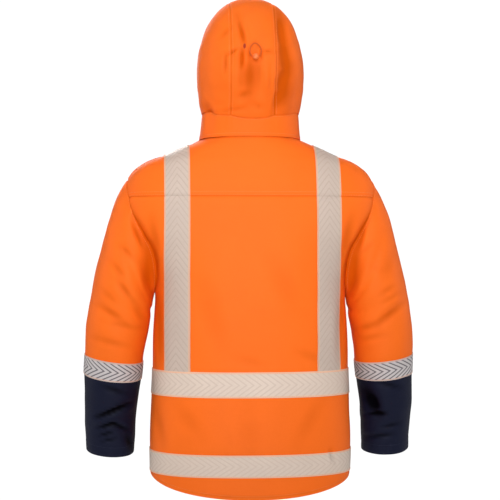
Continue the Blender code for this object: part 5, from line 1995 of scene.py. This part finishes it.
@dataclass
class Stage:
    """Pale floor, soft lights and the camera behind the jacket."""

    distance: float = 3.1
    height: float = -0.2213
    turn_degrees: float = 4.0
    lens: float = 109.94
    sensor_width: float = 36.0
    floor_z: float = -1.46
    floor_half: float = 4.0
    floor_colour: Colour = (0.86, 0.86, 0.86)
    floor_roughness: float = 0.9
    world_as_light: float = 0.26
    world_as_background: float = 1.05
    lights: tuple[SoftLight, ...] = (
        SoftLight("key", (0.22, 3.38, 0.40), (0.01, 0.0, -0.11), 1.2, 5.9, 36.0),
        SoftLight("top", (0.30, 1.20, 3.20), (0.0, 0.0, -0.10), 1.6, 34.0),
        SoftLight("front", (0.40, -3.40, 1.10), (0.0, 0.0, -0.20), 2.2, 95.0),
        SoftLight("side_left", (3.60, -0.60, 0.60), (0.0, 0.0, -0.25), 1.8, 30.0),
        SoftLight("side_right", (-3.60, -0.60, 0.60), (0.0, 0.0, -0.25), 1.8, 30.0),
    )

    def build(self) -> None:
        """Makes the floor, world, lights and camera."""
        scene = bpy.context.scene
        scene.view_settings.view_transform = "Standard"
        self.build_floor(scene)
        self.build_world(scene)
        for light in self.lights:
            light.build()
        self.build_camera(scene)

    def build_floor(self, scene: Scene) -> None:
        """A plain pale floor under the held-up jacket."""
        bm = bmesh.new()
        bmesh.ops.create_grid(bm, x_segments=1, y_segments=1, size=self.floor_half)
        bmesh.ops.translate(bm, vec=(0, 0, self.floor_z), verts=bm.verts[:])
        mesh = bpy.data.meshes.new("stage_floor")
        bm.to_mesh(mesh)
        bm.free()
        floor = bpy.data.objects.new("stage_floor", mesh)
        material, _, shader = new_material("pale floor")
        shader.inputs["Base Color"].default_value = rgba(self.floor_colour)
        shader.inputs["Roughness"].default_value = self.floor_roughness
        mesh.materials.append(material)
        scene.collection.objects.link(floor)

    def build_camera(self, scene: Scene) -> None:
        """Camera level with the jacket's middle, a few degrees to the left of its back."""
        camera = bpy.data.cameras.new("camera")
        camera.lens = self.lens
        camera.sensor_width = self.sensor_width
        turn = math.radians(self.turn_degrees)
        holder = bpy.data.objects.new("camera", camera)
        holder.location = (self.distance * math.sin(turn), self.distance * math.cos(turn), self.height)
        holder.rotation_euler = (math.pi / 2, 0, math.pi - turn)
        scene.collection.objects.link(holder)
        scene.camera = holder

    def build_world(self, scene: Scene) -> None:
        """Even white surroundings, dimmer as light than as background."""
        world = bpy.data.worlds.new("studio")
        scene.world = world
        world.use_nodes = True
        tree = world.node_tree
        background = tree.nodes["Background"]
        path = tree.nodes.new("ShaderNodeLightPath")
        strength = tree.nodes.new("ShaderNodeMapRange")
        strength.inputs["To Min"].default_value = self.world_as_light
        strength.inputs["To Max"].default_value = self.world_as_background
        tree.links.new(path.outputs["Is Camera Ray"], strength.inputs["Value"])
        tree.links.new(strength.outputs["Result"], background.inputs["Strength"])
        background.inputs["Color"].default_value = (1, 1, 1, 1)


LEFT_SLEEVE_CREASES = in_mm(
    Crease,
    (237, -170, 220, -209, 3.4, 4.2), (211, -230, 203, -306, 3.6, 14), (260, -215, 234, -238, 2.6, 6),
    (277, -245, 254, -274, 1.9, 7), (265, -283, 240, -316, 2.7, 7), (295, -301, 270, -327, 1.3, 7),
    (300, -334, 256, -360, 2.5, 7.4), (288, -364, 228, -376, 1.7, 6.6), (231, -330, 218, -364, 1.8, 9),
    (312, -396, 253, -410, 1.7, 7), (249, -252, 235, -276, -1.4, 8), (306, -555, 245, -531, 6.6, 5),
    (304, -578, 274, -570, 5, 4.2), (280, -569, 247, -584, 3.8, 4.4), (302, -594, 279, -588, 3.8, 3.8),
    (298, -606, 272, -601, 2.8, 3.8), (294, -493, 254, -507, 2.6, 6), (248, -598, 240, -624, 3.4, 7),
)
RIGHT_SLEEVE_CREASES = in_mm(
    Crease,
    (-229, -156, -213, -213, 3.8, 4.4), (-203, -225, -199, -306, 3.8, 14),
    (-241, -207, -219, -227, 1.6, 5.6), (-253, -261, -225, -245, 1.2, 7), (-281, -295, -259, -309, 1.7, 6),
    (-293, -309, -263, -326, 1.4, 6), (-297, -334, -253, -368, 2.8, 7.8), (-250, -370, -215, -382, 1.9, 8),
    (-223, -400, -263, -392, 1.6, 7.2), (-278, -235, -266, -270, 1, 11),
    (-239.5, -515, -256, -547, 7.6, 11), (-239.5, -557, -276, -553, 5.2, 3.8),
    (-260, -489, -300, -499, 2.6, 5.2), (-243.5, -604, -290, -596, 3, 5), (-302, -575, -272, -582, 2.6, 5),
)


def main() -> None:
    """Builds the jacket piece by piece, then the stage."""
    logging.basicConfig(level=logging.INFO, format="%(message)s")
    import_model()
    wardrobe = Wardrobe()
    Stage().build()
    torso_form, hood_form = TorsoForm(), HoodForm()
    hood = Hood(hood_form, torso_form, wardrobe)
    torso = Torso(torso_form, wardrobe)
    torso.build_panels()
    torso.build_tapes()
    sleeve_form = SleeveForm(torso_form)
    Sleeve(sleeve_form, wardrobe, Hand.LEFT, LEFT_SLEEVE_CREASES).build()
    Sleeve(sleeve_form, wardrobe, Hand.RIGHT, RIGHT_SLEEVE_CREASES).build()
    Closure(torso_form, wardrobe).build()
    hood.build()
    Adjuster(hood_form, wardrobe).build()


if __name__ == "__main__":
    main()
